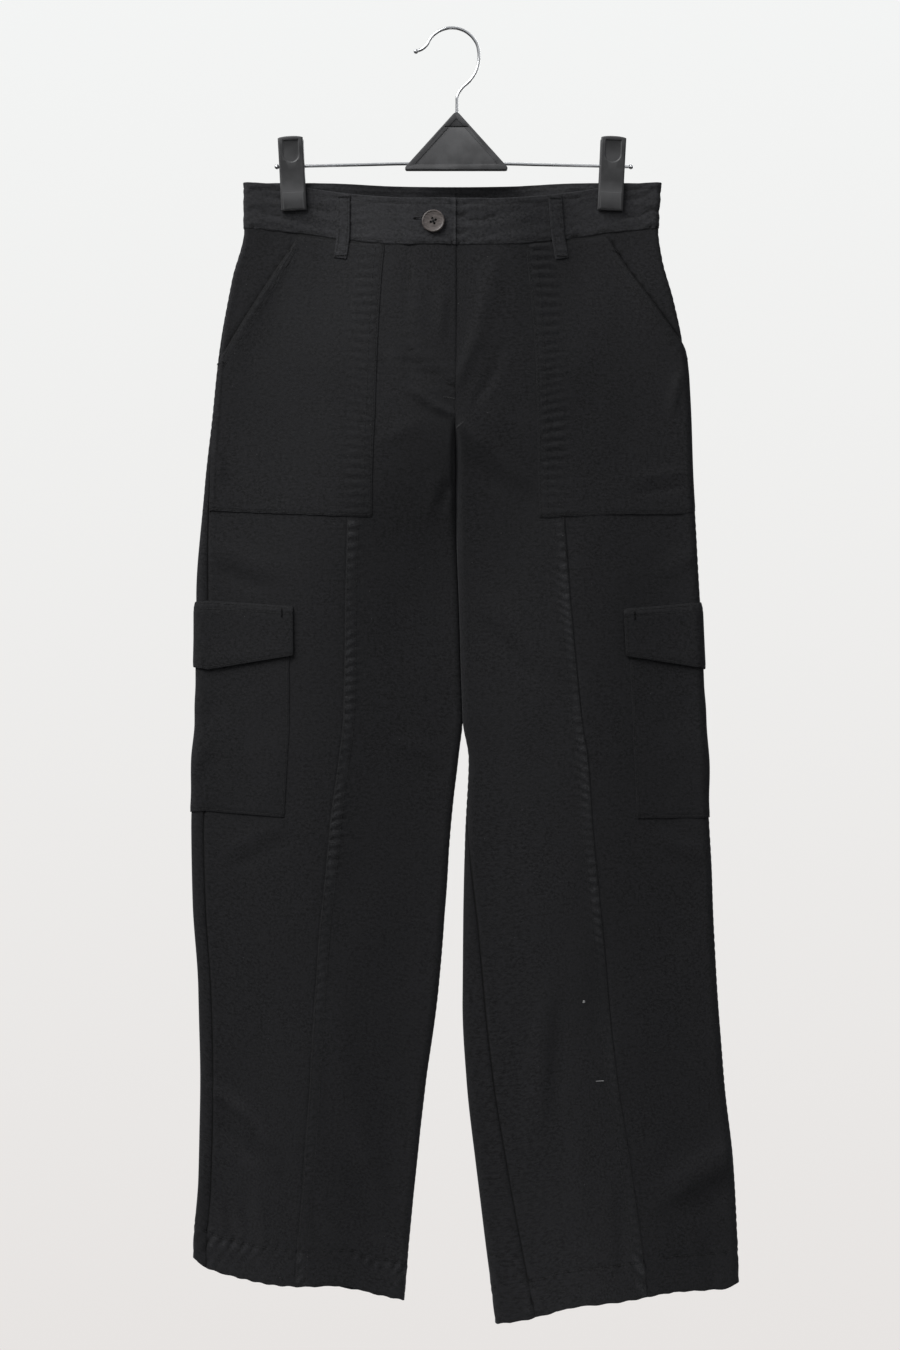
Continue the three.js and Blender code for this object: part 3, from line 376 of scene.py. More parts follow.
def face_lengths(leg, down):
    down = np.asarray(down, float)
    edge = read(BODY, "down", down, "edge")
    side = read(leg["outline"], "down", down, "side")
    inner = read(leg["outline"], "down", down, "inner")
    roll = rolled(down)
    drift = np.clip((down - CROTCH) / (LEGS_PART - CROTCH), 0, 1)
    depth = half_depth(0, down)
    turned = depth * roll / np.hypot(depth * roll, edge * (1 - roll) * 2 / math.pi)
    stand_off = 0.4 * turned - 0.1
    touching = CENTRE_X + PART_SHIFT * drift + leg["side"] * stand_off
    start = np.where(down < LEGS_PART, touching, inner)
    curl = math.pi / 2 * np.sqrt((edge**2 + depth**2) / 2)
    first, last = mix(edge, curl, roll), math.pi / 2 * edge
    middle = np.abs(side - start) - 2 * edge
    return SimpleNamespace(
        edge=edge, start=start, side=side, roll=roll, depth=depth,
        first=first, middle=middle, last=last, all=first + middle + last,
    )


def girth(leg, down):
    return 2 * face_lengths(leg, down).all


def section_point(leg_name, around, down):
    leg = LEGS[leg_name]
    around, down = np.broadcast_arrays(np.asarray(around, float), np.asarray(down, float))
    front = around <= 0.5
    lengths = face_lengths(leg, down)
    along = np.where(front, around, 1 - around) * 2 * lengths.all
    span = np.abs(lengths.side - lengths.start)
    turn = np.clip(along / lengths.first, 0, 1) * math.pi / 2
    share = (along - lengths.first) / lengths.middle
    fold = np.clip((lengths.all - along) / lengths.last, 0, 1) * math.pi / 2
    parts = [along < 0, along < lengths.first, along < lengths.first + lengths.middle]
    across = np.select(parts, [
        along,
        lengths.edge * mix(along / lengths.first, 1 - np.cos(turn), lengths.roll),
        lengths.edge + lengths.middle * share,
    ], span - lengths.edge * (1 - np.cos(fold)))
    depth = np.select(parts, [
        half_depth(along / span, down),
        lengths.depth * (1 - lengths.roll + lengths.roll * np.sin(turn)),
        half_depth(share, down),
    ], lengths.edge * np.sin(fold))
    x = lengths.start + leg["side"] * across
    share = np.clip(across / span, 0, 1)
    facing = np.where(front, -FRONT_SHARE, BACK_SHARE)
    stood = mix(depth * np.abs(facing), np.minimum(depth, PINCHED), pinch(x, down))
    lift = fold_lift(leg_name, front, x, down) * np.clip(depth / lengths.edge, 0, 1)
    swing = np.sin(math.pi * (FLUTE_TURNS * share + FLUTE_AHEAD))
    flute = FLUTE_SWING * ease(FLUTE_START, FLUTE_FULL, down) * swing
    lean = leg["lean"] * ease(CROTCH - 20, CROTCH + 60, down) * (1 - share) ** 2
    return np.stack([x, np.sign(facing) * (stood + lift) + flute + lean, -down], axis=-1)


print("Depth of a thigh:", round(float(half_depth(0.5, 520.0)) * (FRONT_SHARE + BACK_SHARE), 1), "mm")

# %% Where the cloth is, and which way its outside faces
REACH = 0.6  # half the stretch of cloth that a normal is measured over


def wrapped(around, down):
    roll = rolled(down)
    return np.select([roll >= 1, roll > 0], [around - np.floor(around), np.clip(around, 0, 1)], around)


def cloth_at(leg_name, around, down):
    around, down = np.broadcast_arrays(np.asarray(around, float), np.asarray(down, float))
    step = REACH / girth(LEGS[leg_name], down)
    ahead = section_point(leg_name, wrapped(around + step, down), down)
    behind = section_point(leg_name, wrapped(around - step, down), down)
    above = section_point(leg_name, around, down - REACH)
    below = section_point(leg_name, around, down + REACH)
    normal = np.cross(ahead - behind, below - above) * -LEGS[leg_name]["side"]
    normal /= np.linalg.norm(normal, axis=-1, keepdims=True)
    return section_point(leg_name, wrapped(around, down), down), normal


def lay(leg_name, around, down, lift):
    """Points that stand `lift` outside the middle of the cloth."""
    point, normal = cloth_at(leg_name, around, down)
    return point + normal * np.asarray(lift)[..., None]


print("The front of the right thigh faces", np.round(cloth_at("right", 0.25, 520.0)[1], 2))

# %% Levels and seams
def dip(around):
    return np.where(around < 0.5, FRONT_DIP * (1 - ease(0.08, 0.5, around)), 0)


def hem_line(leg_name, around):
    waved = 0.45 * np.sin(2 * math.pi * 26 * around + 2 * np.sin(2 * math.pi * 3 * around))
    return read(LEGS[leg_name]["hem"], "around", around - (around > 1), "down") + waved


def down_at(leg_name, around, level):
    """Level 0 is the seam under the waistband and level 1 is the edge of the hem."""
    around = np.asarray(around, float)
    dipped = dip(around) * (1 - ease(0, DIP_GONE, level))
    return mix(WAIST_SEAM, hem_line(leg_name, around), level) + dipped


def level_of(leg_name, around, down):
    low, high = np.full(np.shape(around), -0.1), np.full(np.shape(around), 1.1)
    for _ in range(40):
        middle = (low + high) / 2
        short = down_at(leg_name, around, middle) < down
        low, high = np.where(short, middle, low), np.where(short, high, middle)
    return (low + high) / 2


def at_share(leg_name, share, level):
    lengths = face_lengths(LEGS[leg_name], down_at(leg_name, share / 2, level))
    return (lengths.first + np.abs(lengths.side - lengths.start) * share - lengths.edge) / (2 * lengths.all)


def front_seam(leg_name, level):
    down = down_at(leg_name, 0.24, level)
    return at_share(leg_name, read(LEGS[leg_name]["seam"], "down", down, "share"), level)


def side_seam(leg_name, level):
    leg, down = LEGS[leg_name], down_at(leg_name, 0.5, level)
    return 0.5 - read(leg["forward"], "down", down, "side") / girth(leg, down)


def inseam(leg_name, level, turn=0):
    leg, around = LEGS[leg_name], 0 * level
    for _ in range(3):
        down = down_at(leg_name, turn + around, level)
        around = read(leg["forward"], "down", down, "inner") / girth(leg, down)
    return turn + around


def millimetres(leg_name, level, length):
    return length / girth(LEGS[leg_name], down_at(leg_name, 0.25, level))

# %% Columns that crowd together at the folded edges
CROWD_PULL, CROWD_REACH = 0.13, 0.022


def crowded(around):
    """Columns crowd together at the folded edges, where the cloth turns tightly."""
    return around + sum(CROWD_PULL * np.tanh((around - edge) / CROWD_REACH) for edge in (0, 0.5, 1))


PLACES = np.linspace(-0.3, 1.3, 4001)
CROWDED_PLACES = crowded(PLACES)


def between(a, b, share):
    return np.interp(mix(crowded(a), crowded(b), share), CROWDED_PLACES, PLACES)


def share_of(a, b, around):
    return (crowded(around) - crowded(a)) / (crowded(b) - crowded(a))


CLOSE_IN = np.array([0, 0.5, 1.3, 2.4])  # mm from an edge


def edged(count, length, bend=(0.5, 0.5)):
    """Shares of a length, a few of them close to both ends so that a sewn edge can roll.

    Between, the bend says what share of the points covers what share of the length.
    """
    near = CLOSE_IN / length
    rest = 2 * near[-1] - near[-2]
    middle = np.interp(np.linspace(0, 1, count - 2 * len(near)), [0, bend[0], 1], [0, bend[1], 1])
    return np.concatenate([near, mix(rest, 1 - rest, middle), 1 - near[::-1]])


print("Round the right thigh:", round(float(girth(RIGHT, 520.0))), "mm")

# %% [markdown]
# ## Sewing makes cloth uneven
#
# Thread pulls the cloth together, so a topstitched seam is a row of small uneven puckers,
# and the doubled cloth beside it stands a little proud. These are real dents in the mesh
# and not a bump map, because they catch the light along every seam of the trousers.

# %% Puckers and padded seams
FELL = 10.0  # width of the doubled cloth beside a topstitched seam
FELL_PITCH = 8.6
SIDE_SEED, INSEAM_SEED = 3.3, 0.9  # each plain seam has its own run of puckers


def ripple(along, pitch, seed):
    """Puckers of uneven size at about one a pitch: narrow ridges between wider hollows."""
    drift = 0.9 * np.sin(along / (3.7 * pitch) + seed) + 0.6 * np.sin(along / (1.9 * pitch) + 2.3 * seed)
    swell = 0.7 + 0.3 * np.sin(along / (2.6 * pitch) + 1.7 * seed)
    wave = np.sin(2 * math.pi * along / pitch + drift)
    return swell * (1.15 - 2.1 * (0.5 - 0.5 * wave) ** 2.4)


def seam_groove(distance, depth=0.4, wide=0.6):
    """The cloth on either side of a seam rolls down into it."""
    # Through the wear attribute the groove is also painted darker, as shade.
    return -depth * np.exp(-((np.maximum(distance, 0) / wide) ** 1.3))


def pressed_open(distance, along, seed):
    """A plain seam: its turnings, pressed apart inside, make a faint puckered ridge beside it."""
    ridge = 0.2 * bell(distance - 4.5, 2.2)
    pucker = 0.22 * ease(0.5, 2.5, distance) * (1 - ease(6, 11, distance)) * ripple(along, 7.4, seed)
    return seam_groove(distance, 0.95, 1.05) + ridge + pucker


def felled_edge(distance, along, pucker=0.6, seed=0.0):
    """Doubled cloth, topstitched at its edge and again at its far side."""
    distance = np.maximum(distance, 0)
    padded = 0.4 * ease(0, 1.6, distance) * (1 - ease(FELL - 0.8, FELL + 1.4, distance))
    groove = -0.30 * bell(distance - FELL)
    band = ease(0.3, 2.0, distance) * (1 - ease(FELL, FELL + 6, distance))
    slant = along + 0.3 * distance + 1.2 * np.sin(distance / 2.7 + along / 23)
    puckers = pucker * band * ripple(slant, FELL_PITCH, seed)
    return padded + seam_groove(distance, 0.5) + groove + puckers


print("Puckers of a felled seam:", np.round(felled_edge(5.0, np.arange(0, 40, 8.0)), 2))

# %% Slack cloth
ROUND = 700  # ripples count one turn round a leg as so many millimetres


def slack(around, down, seed):
    """The faint waviness of hanging cloth, a fraction of a millimetre."""
    a, d = around * ROUND, down
    return (
        0.20 * np.sin(a / 23 + 1.3 * np.sin(d / 61 + seed))
        + 0.20 * np.sin(d / 19 + 1.7 * np.sin(a / 37 + 2 * seed) + seed) * np.sin(a / 51 + d / 90 + seed)
        + 0.10 * np.sin(a / 9.5 + d / 31 + 3 * seed) * np.sin(d / 43 - a / 60 + seed)
    )


print("Slack along a thigh:", np.round(slack(0.25, np.arange(500, 600, 20.0), 0.0), 2))

# %% [markdown]
# ## Materials
#
# The cloth is a dyed cotton twill: fine diagonal ribs, a soft nap that gives a faint
# sheen, a colour that is never quite even, paler where seams have rubbed, painted darker
# as shade in its grooves and along its rolled edges, and specks of lint. The weave follows
# the cloth's own UV map, which is in metres, so that it turns with each panel. The wear
# and the painted shade are one number that each piece carries as an attribute.

# %% Helpers for node materials
class Nodes:
    """A material's node tree, built a node at a time."""

    def __init__(self, name):
        self.material = bpy.data.materials.new(name)
        self.material.use_nodes = True
        self.tree = self.material.node_tree
        self.tree.nodes.clear()
        self.shader = self.add("ShaderNodeBsdfPrincipled")
        output = self.add("ShaderNodeOutputMaterial")
        self.tree.links.new(self.shader.outputs["BSDF"], output.inputs["Surface"])

    def add(self, kind, settings=None, **inputs):
        node = self.tree.nodes.new(kind)
        for name, value in (settings or {}).items():
            setattr(node, name, value)
        for name, value in inputs.items():
            self.put(node, name.replace("_", " "), value)
        return node

    def put(self, node, name, value):
        socket = node.inputs[name]
        if isinstance(value, bpy.types.NodeSocket):
            self.tree.links.new(value, socket)
        else:
            socket.default_value = value

    def coordinates(self, which):
        return self.add("ShaderNodeTexCoord").outputs[which]

    def noise(self, where, scale, detail=3.0, roughness=0.55):
        inputs = {"Vector": where, "Scale": scale, "Detail": detail, "Roughness": roughness}
        return self.add("ShaderNodeTexNoise", **inputs).outputs["Fac"]

    def ramp(self, value, low, high, out_low=0.0, out_high=1.0):
        node = self.add(
            "ShaderNodeMapRange", {"interpolation_type": "SMOOTHSTEP"}, Value=value,
            From_Min=low, From_Max=high, To_Min=out_low, To_Max=out_high,
        )
        return node.outputs["Result"]

    def math(self, operation, a, b):
        node = self.add("ShaderNodeMath", {"operation": operation})
        self.put(node, 0, a)
        self.put(node, 1, b)
        return node.outputs["Value"]

    def blend(self, factor, a, b):
        node = self.add("ShaderNodeMix", {"data_type": "RGBA"})
        self.put(node, 0, factor)
        self.put(node, 6, a)
        self.put(node, 7, b)
        return node.outputs[2]

    def bump(self, height, distance, strength=1.0, under=None):
        node = self.add("ShaderNodeBump", Height=height, Distance=distance, Strength=strength)
        if under is not None:
            self.put(node, "Normal", under)
        return node.outputs["Normal"]

    def set(self, **inputs):
        for name, value in inputs.items():
            self.put(self.shader, name.replace("_", " "), value)


def grey(value, cool=0.0):
    """A neutral colour, or one with a little more blue."""
    return (value, value, value * (1 + cool), 1)

# %% Twill
RIB_PITCH = 0.75 * MM
WEFT_PITCH = 0.55 * MM
WAVE_PERIOD = 0.314  # of Blender's wave texture at a scale of 1


def twill(name, tone=1.0, ribs=63):
    cloth = Nodes(name)
    place, metres = cloth.coordinates("Object"), cloth.coordinates("UV")
    turned = cloth.add("ShaderNodeMapping", Vector=metres, Rotation=(0, 0, math.radians(ribs)))
    waves = {"wave_type": "BANDS", "bands_direction": "X", "wave_profile": "SIN"}
    rib = cloth.add(
        "ShaderNodeTexWave", waves, Vector=turned.outputs["Vector"],
        Scale=WAVE_PERIOD / RIB_PITCH, Distortion=0.6, Detail=1.0,
    ).outputs["Fac"]
    weft = cloth.add(
        "ShaderNodeTexWave", dict(waves, bands_direction="Y"), Vector=metres,
        Scale=WAVE_PERIOD / WEFT_PITCH, Distortion=0.4, Detail=1.0,
    ).outputs["Fac"]
    weave = cloth.math("ADD", cloth.math("MULTIPLY", rib, 0.7), cloth.math("MULTIPLY", weft, 0.3))
    nap = cloth.noise(place, 900, 4.0, 0.7)
    yarns = cloth.add("ShaderNodeMapping", Vector=metres, Scale=(0.8, 1.0, 1.0))
    slub = cloth.noise(yarns.outputs["Vector"], 430, 4.0, 0.85)
    mottle = cloth.noise(place, 120, 5.0, 0.7)
    cloud = cloth.noise(place, 11, 2.0)
    cloth_colour = cloth.blend(cloth.ramp(slub, 0.36, 0.64), grey(0.0032 * tone, 0.06), grey(0.0215 * tone, 0.07))
    cloth_colour = cloth.blend(cloth.ramp(mottle, 0.42, 0.66, 0.0, 0.6), cloth_colour, grey(0.0205 * tone, 0.08))
    cloth_colour = cloth.blend(cloth.ramp(cloud, 0.3, 0.7, 0.0, 0.35), cloth_colour, grey(0.015 * tone, 0.07))
    cloth_colour = cloth.blend(cloth.math("MULTIPLY", weave, 0.3), cloth_colour, grey(0.021 * tone, 0.08))
    wear_and_painted_light = cloth.add("ShaderNodeAttribute", {"attribute_name": "wear_and_painted_light"}).outputs["Fac"]
    rubbed = cloth.math("MULTIPLY", cloth.ramp(wear_and_painted_light, 0, 1), cloth.ramp(nap, 0.35, 0.7))
    cloth_colour = cloth.blend(cloth.math("MULTIPLY", rubbed, 0.5), cloth_colour, grey(0.075, 0.05))
    # Painted shade: where the attribute is below 0, in grooves, seams and rolled edges, the colour is
    # darkened.
    cloth_colour = cloth.blend(cloth.ramp(wear_and_painted_light, 0, -1, 0, 0.75), cloth_colour, grey(0.0035))
    cells = cloth.add("ShaderNodeTexVoronoi", Vector=place, Scale=88.0)
    fluff = cloth.math("LESS_THAN", cells.outputs["Distance"], 0.022)
    tint = cloth.add("ShaderNodeSeparateColor", Color=cells.outputs["Color"]).outputs["Red"]
    lint = cloth.math("MULTIPLY", fluff, cloth.math("GREATER_THAN", tint, 0.4))
    cloth_colour = cloth.blend(cloth.math("MULTIPLY", lint, 0.6), cloth_colour, grey(0.2))
    soft = cloth.bump(nap, 0.25 * MM, 0.5)
    rough = cloth.bump(slub, 0.4 * MM, 0.7, soft)
    cloth.set(
        Base_Color=cloth_colour,
        Roughness=cloth.ramp(mottle, 0.2, 0.8, 0.8, 0.96),
        Normal=cloth.bump(weave, 0.16 * MM, 0.6, rough),
        Specular_IOR_Level=0.2,
        Sheen_Weight=0.10,
        Sheen_Roughness=0.4,
        Sheen_Tint=(0.84, 0.85, 0.9, 1),
    )
    return cloth.material


TWILL = twill("twill")
TWILL_CROSSWISE = twill("twill_crosswise", 1.7, 27)  # strips that are cut across the grain
print("Ribs every", RIB_PITCH / MM, "mm")

# %% [markdown]
# ### Thread, horn, plastic and wire
#
# The smaller finishes are made in the same way. Thread is a noise fine enough to look
# like its ply. Resin horn is streaked, so its noise is stretched along one axis. The
# moulded plastic has a fine grain and is rubbed smoother; its sharp edges are greyer, part
# rubbed wear and part painted highlight, from the same attribute as the cloth. Wire is bare
# metal: all its colour is what it reflects, and it is a little duller and rougher in patches.

# %% Thread
def thread_material(name, value):
    thread = Nodes(name)
    ply = thread.noise(thread.coordinates("Object"), 2600, 2.0)
    thread.set(
        Base_Color=thread.blend(ply, grey(value * 0.6), grey(value * 1.4)),
        Roughness=0.72,
        Normal=thread.bump(ply, 0.08 * MM),
        Specular_IOR_Level=0.3,
        Sheen_Weight=0.05,
    )
    return thread.material


THREAD = thread_material("thread", 0.0125)
PALE_THREAD = thread_material("pale_thread", 0.42)
WORN_THREAD = thread_material("worn_thread", 0.13)
print(len(bpy.data.materials), "materials so far")

# %% Horn, plastic and wire
def horn_material():
    """Grey-brown resin made to look like horn: streaked, slightly cloudy, polished."""
    horn = Nodes("horn")
    place = horn.coordinates("Object")
    tilt = (0, math.radians(32), 0)
    stretched = horn.add("ShaderNodeMapping", Vector=place, Rotation=tilt, Scale=(1, 1, 3.4))
    streak = horn.noise(stretched.outputs["Vector"], 210, 5.0, 0.6)
    cloud = horn.noise(place, 900, 3.0)
    colour = horn.blend(horn.ramp(streak, 0.35, 0.68), (0.062, 0.053, 0.049, 1), (0.125, 0.107, 0.1, 1))
    colour = horn.blend(horn.ramp(cloud, 0.55, 0.75, 0, 0.5), colour, (0.05, 0.04, 0.036, 1))
    horn.set(
        Base_Color=colour,
        Roughness=horn.ramp(cloud, 0.3, 0.8, 0.4, 0.52),
        Normal=horn.bump(cloud, 0.04 * MM, 0.5),
        Specular_IOR_Level=0.4,
    )
    return horn.material


def plastic_material(name, tone):
    """Moulded charcoal plastic: a fine spark-eroded grain, rubbed smoother, and paler on its sharp edges,
    part rubbed wear and part painted highlight.
    """
    plastic = Nodes(name)
    place = plastic.coordinates("Object")
    grain = plastic.noise(place, 2200, 2.0, 0.6)
    rub = plastic.noise(place, 65, 4.0, 0.6)
    wear_and_painted_light = plastic.add("ShaderNodeAttribute", {"attribute_name": "wear_and_painted_light"}).outputs["Fac"]
    dark, pale = grey(0.027 * tone, 0.03), grey(0.044 * tone, 0.03)
    colour = plastic.blend(plastic.ramp(rub, 0.35, 0.7), dark, pale)
    # Paler where the edges turn sharply: part rubbed wear, part painted highlight of the bevels.
    colour = plastic.blend(plastic.math("MULTIPLY", wear_and_painted_light, 0.55), colour, grey(0.11 * tone, 0.02))
    plastic.set(
        Base_Color=colour,
        Roughness=plastic.ramp(rub, 0.3, 0.75, 0.42, 0.62),
        Normal=plastic.bump(grain, 0.05 * MM, 0.6),
        Specular_IOR_Level=0.45,
    )
    return plastic.material


def wire_material():
    """Bright plated steel wire with faint drawing lines and dulled patches."""
    wire = Nodes("plated_wire")
    place = wire.coordinates("Object")
    dull = wire.noise(place, 160, 4.0, 0.65)
    fine = wire.noise(place, 2400, 2.0)
    wire.set(
        Base_Color=wire.blend(wire.ramp(dull, 0.45, 0.75), (0.8, 0.81, 0.82, 1), (0.58, 0.585, 0.59, 1)),
        Roughness=wire.ramp(dull, 0.35, 0.8, 0.12, 0.32),
        Normal=wire.bump(fine, 0.02 * MM, 0.4),
        Metallic=1.0,
    )
    return wire.material


HORN = horn_material()
PLASTIC = plastic_material("clip_plastic", 0.95)
PLATE_PLASTIC = plastic_material("plate_plastic", 1.45)
WIRE = wire_material()
print(len(bpy.data.materials), "materials")

# %% [markdown]
# ## From a grid to a piece of cloth
#
# A piece of cloth starts as a flat grid, which is what a cut piece is. Its points are moved
# onto the garment's form, the grid's own rows and columns become the UV map for the weave,
# and Solidify gives it its thickness. A small Bevel rounds the edges that show. The result is
# kept as a plain mesh with its sharp edges marked, so that the wide faces shade smoothly.

# %% Making cloth
SHARP = math.radians(42)


def mesh_from(name, shape):
    """Turns a bmesh into a mesh and frees it."""
    mesh = bpy.data.meshes.new(name)
    shape.to_mesh(mesh)
    shape.free()
    return mesh


def link(name, mesh, material):
    piece = add_object(name, mesh)
    mesh.materials.clear()
    mesh.materials.append(material)
    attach(piece, "root")
    return piece


def settle(piece):
    """Turns a piece and its modifiers into a plain mesh."""
    graph = bpy.context.evaluated_depsgraph_get()
    shape = bpy.data.meshes.new_from_object(
        piece.evaluated_get(graph), preserve_all_data_layers=True, depsgraph=graph
    )
    piece.modifiers.clear()
    piece.data = shape
    shape.shade_smooth()
    shape.set_sharp_from_angle(angle=SHARP)
    return piece


def round_edges(piece, width, angle):
    """Gives every edge that is sharper than the angle a small round bevel."""
    bevel = piece.modifiers.new("edges", "BEVEL")
    bevel.width = width * MM
    bevel.segments = 2
    bevel.profile = 0.5
    bevel.limit_method = "ANGLE"
    bevel.angle_limit = math.radians(angle)

# %% A grid of cloth, and its thickness
def grid_mesh(name, points, wear_and_painted_light, flipped, flat):
    """A grid of points in millimetres, with their places in the flat cut where those are known."""
    rows, columns = points.shape[:2]
    grid = bmesh.new()
    bmesh.ops.create_grid(grid, x_segments=columns - 1, y_segments=rows - 1, size=1)
    mesh = mesh_from(name, grid)
    mesh.vertices.foreach_set("co", (points * MM).astype(np.float32).ravel())
    across = np.linalg.norm(np.diff(points, axis=1), axis=-1).mean(axis=0)
    along = np.linalg.norm(np.diff(points, axis=0), axis=-1).mean(axis=1)
    u = np.concatenate([[0], np.cumsum(across)]) * MM
    v = np.concatenate([[0], np.cumsum(along)]) * MM
    metres = np.stack(np.meshgrid(u, -v), axis=-1) if flat is None else flat * MM
    corners = np.empty(len(mesh.loops), np.int32)
    mesh.loops.foreach_get("vertex_index", corners)
    uv = mesh.uv_layers.new(name="cloth")
    uv.data.foreach_set("uv", metres.reshape(-1, 2)[corners].astype(np.float32).ravel())
    # Above 0 the attribute is rubbed wear; below 0 it is painted shade in grooves and rolled edges.
    rubbed = mesh.attributes.new("wear_and_painted_light", "FLOAT", "POINT")
    rubbed.data.foreach_set("value", np.broadcast_to(wear_and_painted_light, (rows, columns)).astype(np.float32).ravel())
    if flipped:
        mesh.flip_normals()
    mesh.update()
    return mesh


def cloth_piece(name, points, wear_and_painted_light, flipped, wall, material, rounded=0.0, flat=None):
    """A sheet of cloth `wall` thick whose middle passes through the points."""
    piece = link(name, grid_mesh(name, points, wear_and_painted_light, flipped, flat), material)
    solid = piece.modifiers.new("thickness", "SOLIDIFY")
    solid.thickness = wall * MM
    solid.offset = 0
    if rounded:
        round_edges(piece, rounded, 50)
    return settle(piece)

# %% The flat size of each sheet
def cut_size(points):
    """Width, length and area of the flat cut that a grid of points was laid from, in metres."""
    across = np.linalg.norm(np.diff(points, axis=1), axis=-1).sum(axis=1)
    along = np.linalg.norm(np.diff(points, axis=0), axis=-1).sum(axis=0)
    a = points[1:, 1:] - points[:-1, :-1]
    b = points[1:, :-1] - points[:-1, 1:]
    area = np.linalg.norm(np.cross(a, b), axis=-1).sum() / 2
    return float(across.max()) * MM, float(along.max()) * MM, float(area) * MM * MM


SHEETS = []


def declare(piece, points):
    width, length, area = cut_size(points)
    SHEETS.append((piece.name, round(width * 1000), round(length * 1000), round(area, 4)))
    print(f"{piece.name}: {width * 1000:.0f} x {length * 1000:.0f} mm, {len(piece.data.polygons)} faces")

# %% [markdown]
# ## The leg panels
#
# Each leg is cut in three: a centre front, a side front and a back. The long seam between
# the two fronts is felled, so its cloth is doubled and topstitched on the centre front's
# side; the side seam and the inseam are plain. At the foot the cloth is folded in and up
# by 32 mm and stitched through, and that fold is part of the same grid: its last rows run
# round the edge and back up the inside.

# %% The rows of a leg panel
PANEL_STEP = 2.4  # mm between rows
THIN = 0.8  # one layer of twill
HEM_FOLD = 0.62  # radius of the fold, to the middle of the cloth
HEM_TURNS = 5
HEM_INSIDE = 8
HEM_LEVEL = 1 - HEM_DEPTH / LEG_LENGTH
HEM_GIRTH = 400  # mm, near enough for the pitch of its puckers


def hem_profile():
    """Levels of a panel's rows, and how far each is moved in by the fold of the hem."""
    foot = 1 - HEM_FOLD / LEG_LENGTH
    falling = np.linspace(0, foot, int(LEG_LENGTH / PANEL_STEP))
    turn = np.linspace(0, math.pi, HEM_TURNS + 2)[1:]
    folding = foot + HEM_FOLD * np.sin(turn) / LEG_LENGTH
    rising = np.linspace(foot, HEM_LEVEL, HEM_INSIDE)[1:]
    levels = np.concatenate([falling, folding, rising])
    moved = np.concatenate([0 * falling, HEM_FOLD * (1 - np.cos(turn)), 0 * rising + 2 * HEM_FOLD])
    return levels[:, None], moved[:, None]


PANEL_LEVELS, PANEL_MOVED = hem_profile()
print(len(PANEL_LEVELS), "rows to a leg panel")

# %% What the hem and the thighs do to the cloth
def hem_relief(around, level, seed):
    """Stitching sinks the cloth along the top of the hem, and pulls both sides of it into puckers."""
    over = (HEM_LEVEL - level) * LEG_LENGTH
    groove = -0.4 * bell(over, 1.2)
    band = bell(over, 9) + 0.85 * ease(4, -6, over)
    return groove + 0.4 * band * ripple(around * HEM_GIRTH + 0.5 * over, 9.5, seed)


THIGH_GIRTH = 480  # mm, near enough for how far the pressed cloth reaches


def thighs_touch(around, down):
    """Down to where the legs part, their inner edges press together."""
    from_inside = np.minimum(np.abs(around), np.abs(1 - around)) * THIGH_GIRTH
    reach = ease(CROTCH - 75, CROTCH - 40, down) * (1 - ease(LEGS_PART - 4, LEGS_PART + 22, down))
    press = 0.12 + 0.6 * ease(CROTCH, CROTCH + 60, down)
    return press * reach * bell(from_inside, 7)


def rubbed_or_painted_shade(dents):
    """What stands proud is rubbed pale, up to 1; a groove is painted darker as shade, down to -1."""
    return ease(0.3, 0.9, dents) - ease(-0.2, -0.6, dents)

# %% A leg panel
def leg_panel(name, leg, first, last, columns, sewn, seed, base=lambda around, level: 0):
    """A panel from its two edges, the relief that its seams give it, and the layers under it."""
    def relief(around, level):
        leg_girth = girth(LEGS[leg], down_at(leg, around, level))
        from_first = (around - first(level)) * leg_girth
        to_last = (last(level) - around) * leg_girth
        return sewn(around, level, from_first, to_last) + hem_relief(around, level, seed)

    def stand(around, level):
        down = down_at(leg, around, level)
        loose = thighs_touch(around, down) + slack(around, down, seed)
        return base(around, level) + loose + relief(around, level)

    levels = PANEL_LEVELS
    wide = float(np.mean((last(levels) - first(levels)) * girth(LEGS[leg], 700.0)))
    around = between(first(levels), last(levels), edged(columns, wide)[None, :])
    points = lay(leg, around, down_at(leg, around, levels), stand(around, levels) - PANEL_MOVED)
    wear_and_painted_light = rubbed_or_painted_shade(relief(around, levels))
    piece = cloth_piece(f"{name}_panel", points, wear_and_painted_light, leg == "left", THIN, TWILL)
    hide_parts(name)
    declare(piece, points)
    return SimpleNamespace(leg=leg, first=first, last=last, wall=THIN, stand=stand)

# %% The long seam between the fronts
LEG_SEAM_START = 440  # the hip pockets cover the long seam down to here


def seen_seam(down):
    return ease(LEG_SEAM_START - 6, LEG_SEAM_START + 6, down)


def long_seam_relief(leg, around, level, distance, seed):
    down = down_at(leg, around, level)
    pucker = 0.44 - 0.28 * ease(730, 880, down)
    return felled_edge(distance, down, pucker=pucker, seed=seed) * seen_seam(down)

# %% The fly
def fly_lap(around, level):
    """The right front laps over the left one as far down as the foot of the fly."""
    down = down_at("right", around, level)
    from_centre = around * girth(RIGHT, down)
    across = 1 - ease(FLY_WIDTH + 2, FLY_WIDTH + 12, from_centre)
    return FLY_LIFT * across * (1 - ease(FLY_END, FLY_END + FLY_FADE, down))


FLY_STITCHED = (199, 324.0)  # where its thread starts and ends, down
FLY_STITCH = table("down from_centre", [
    (150, 41.5), (286, 40.8), (296, 37.5), (304, 30.0), (313, 18.0), (320, 8.0), (325, 0.5),
])


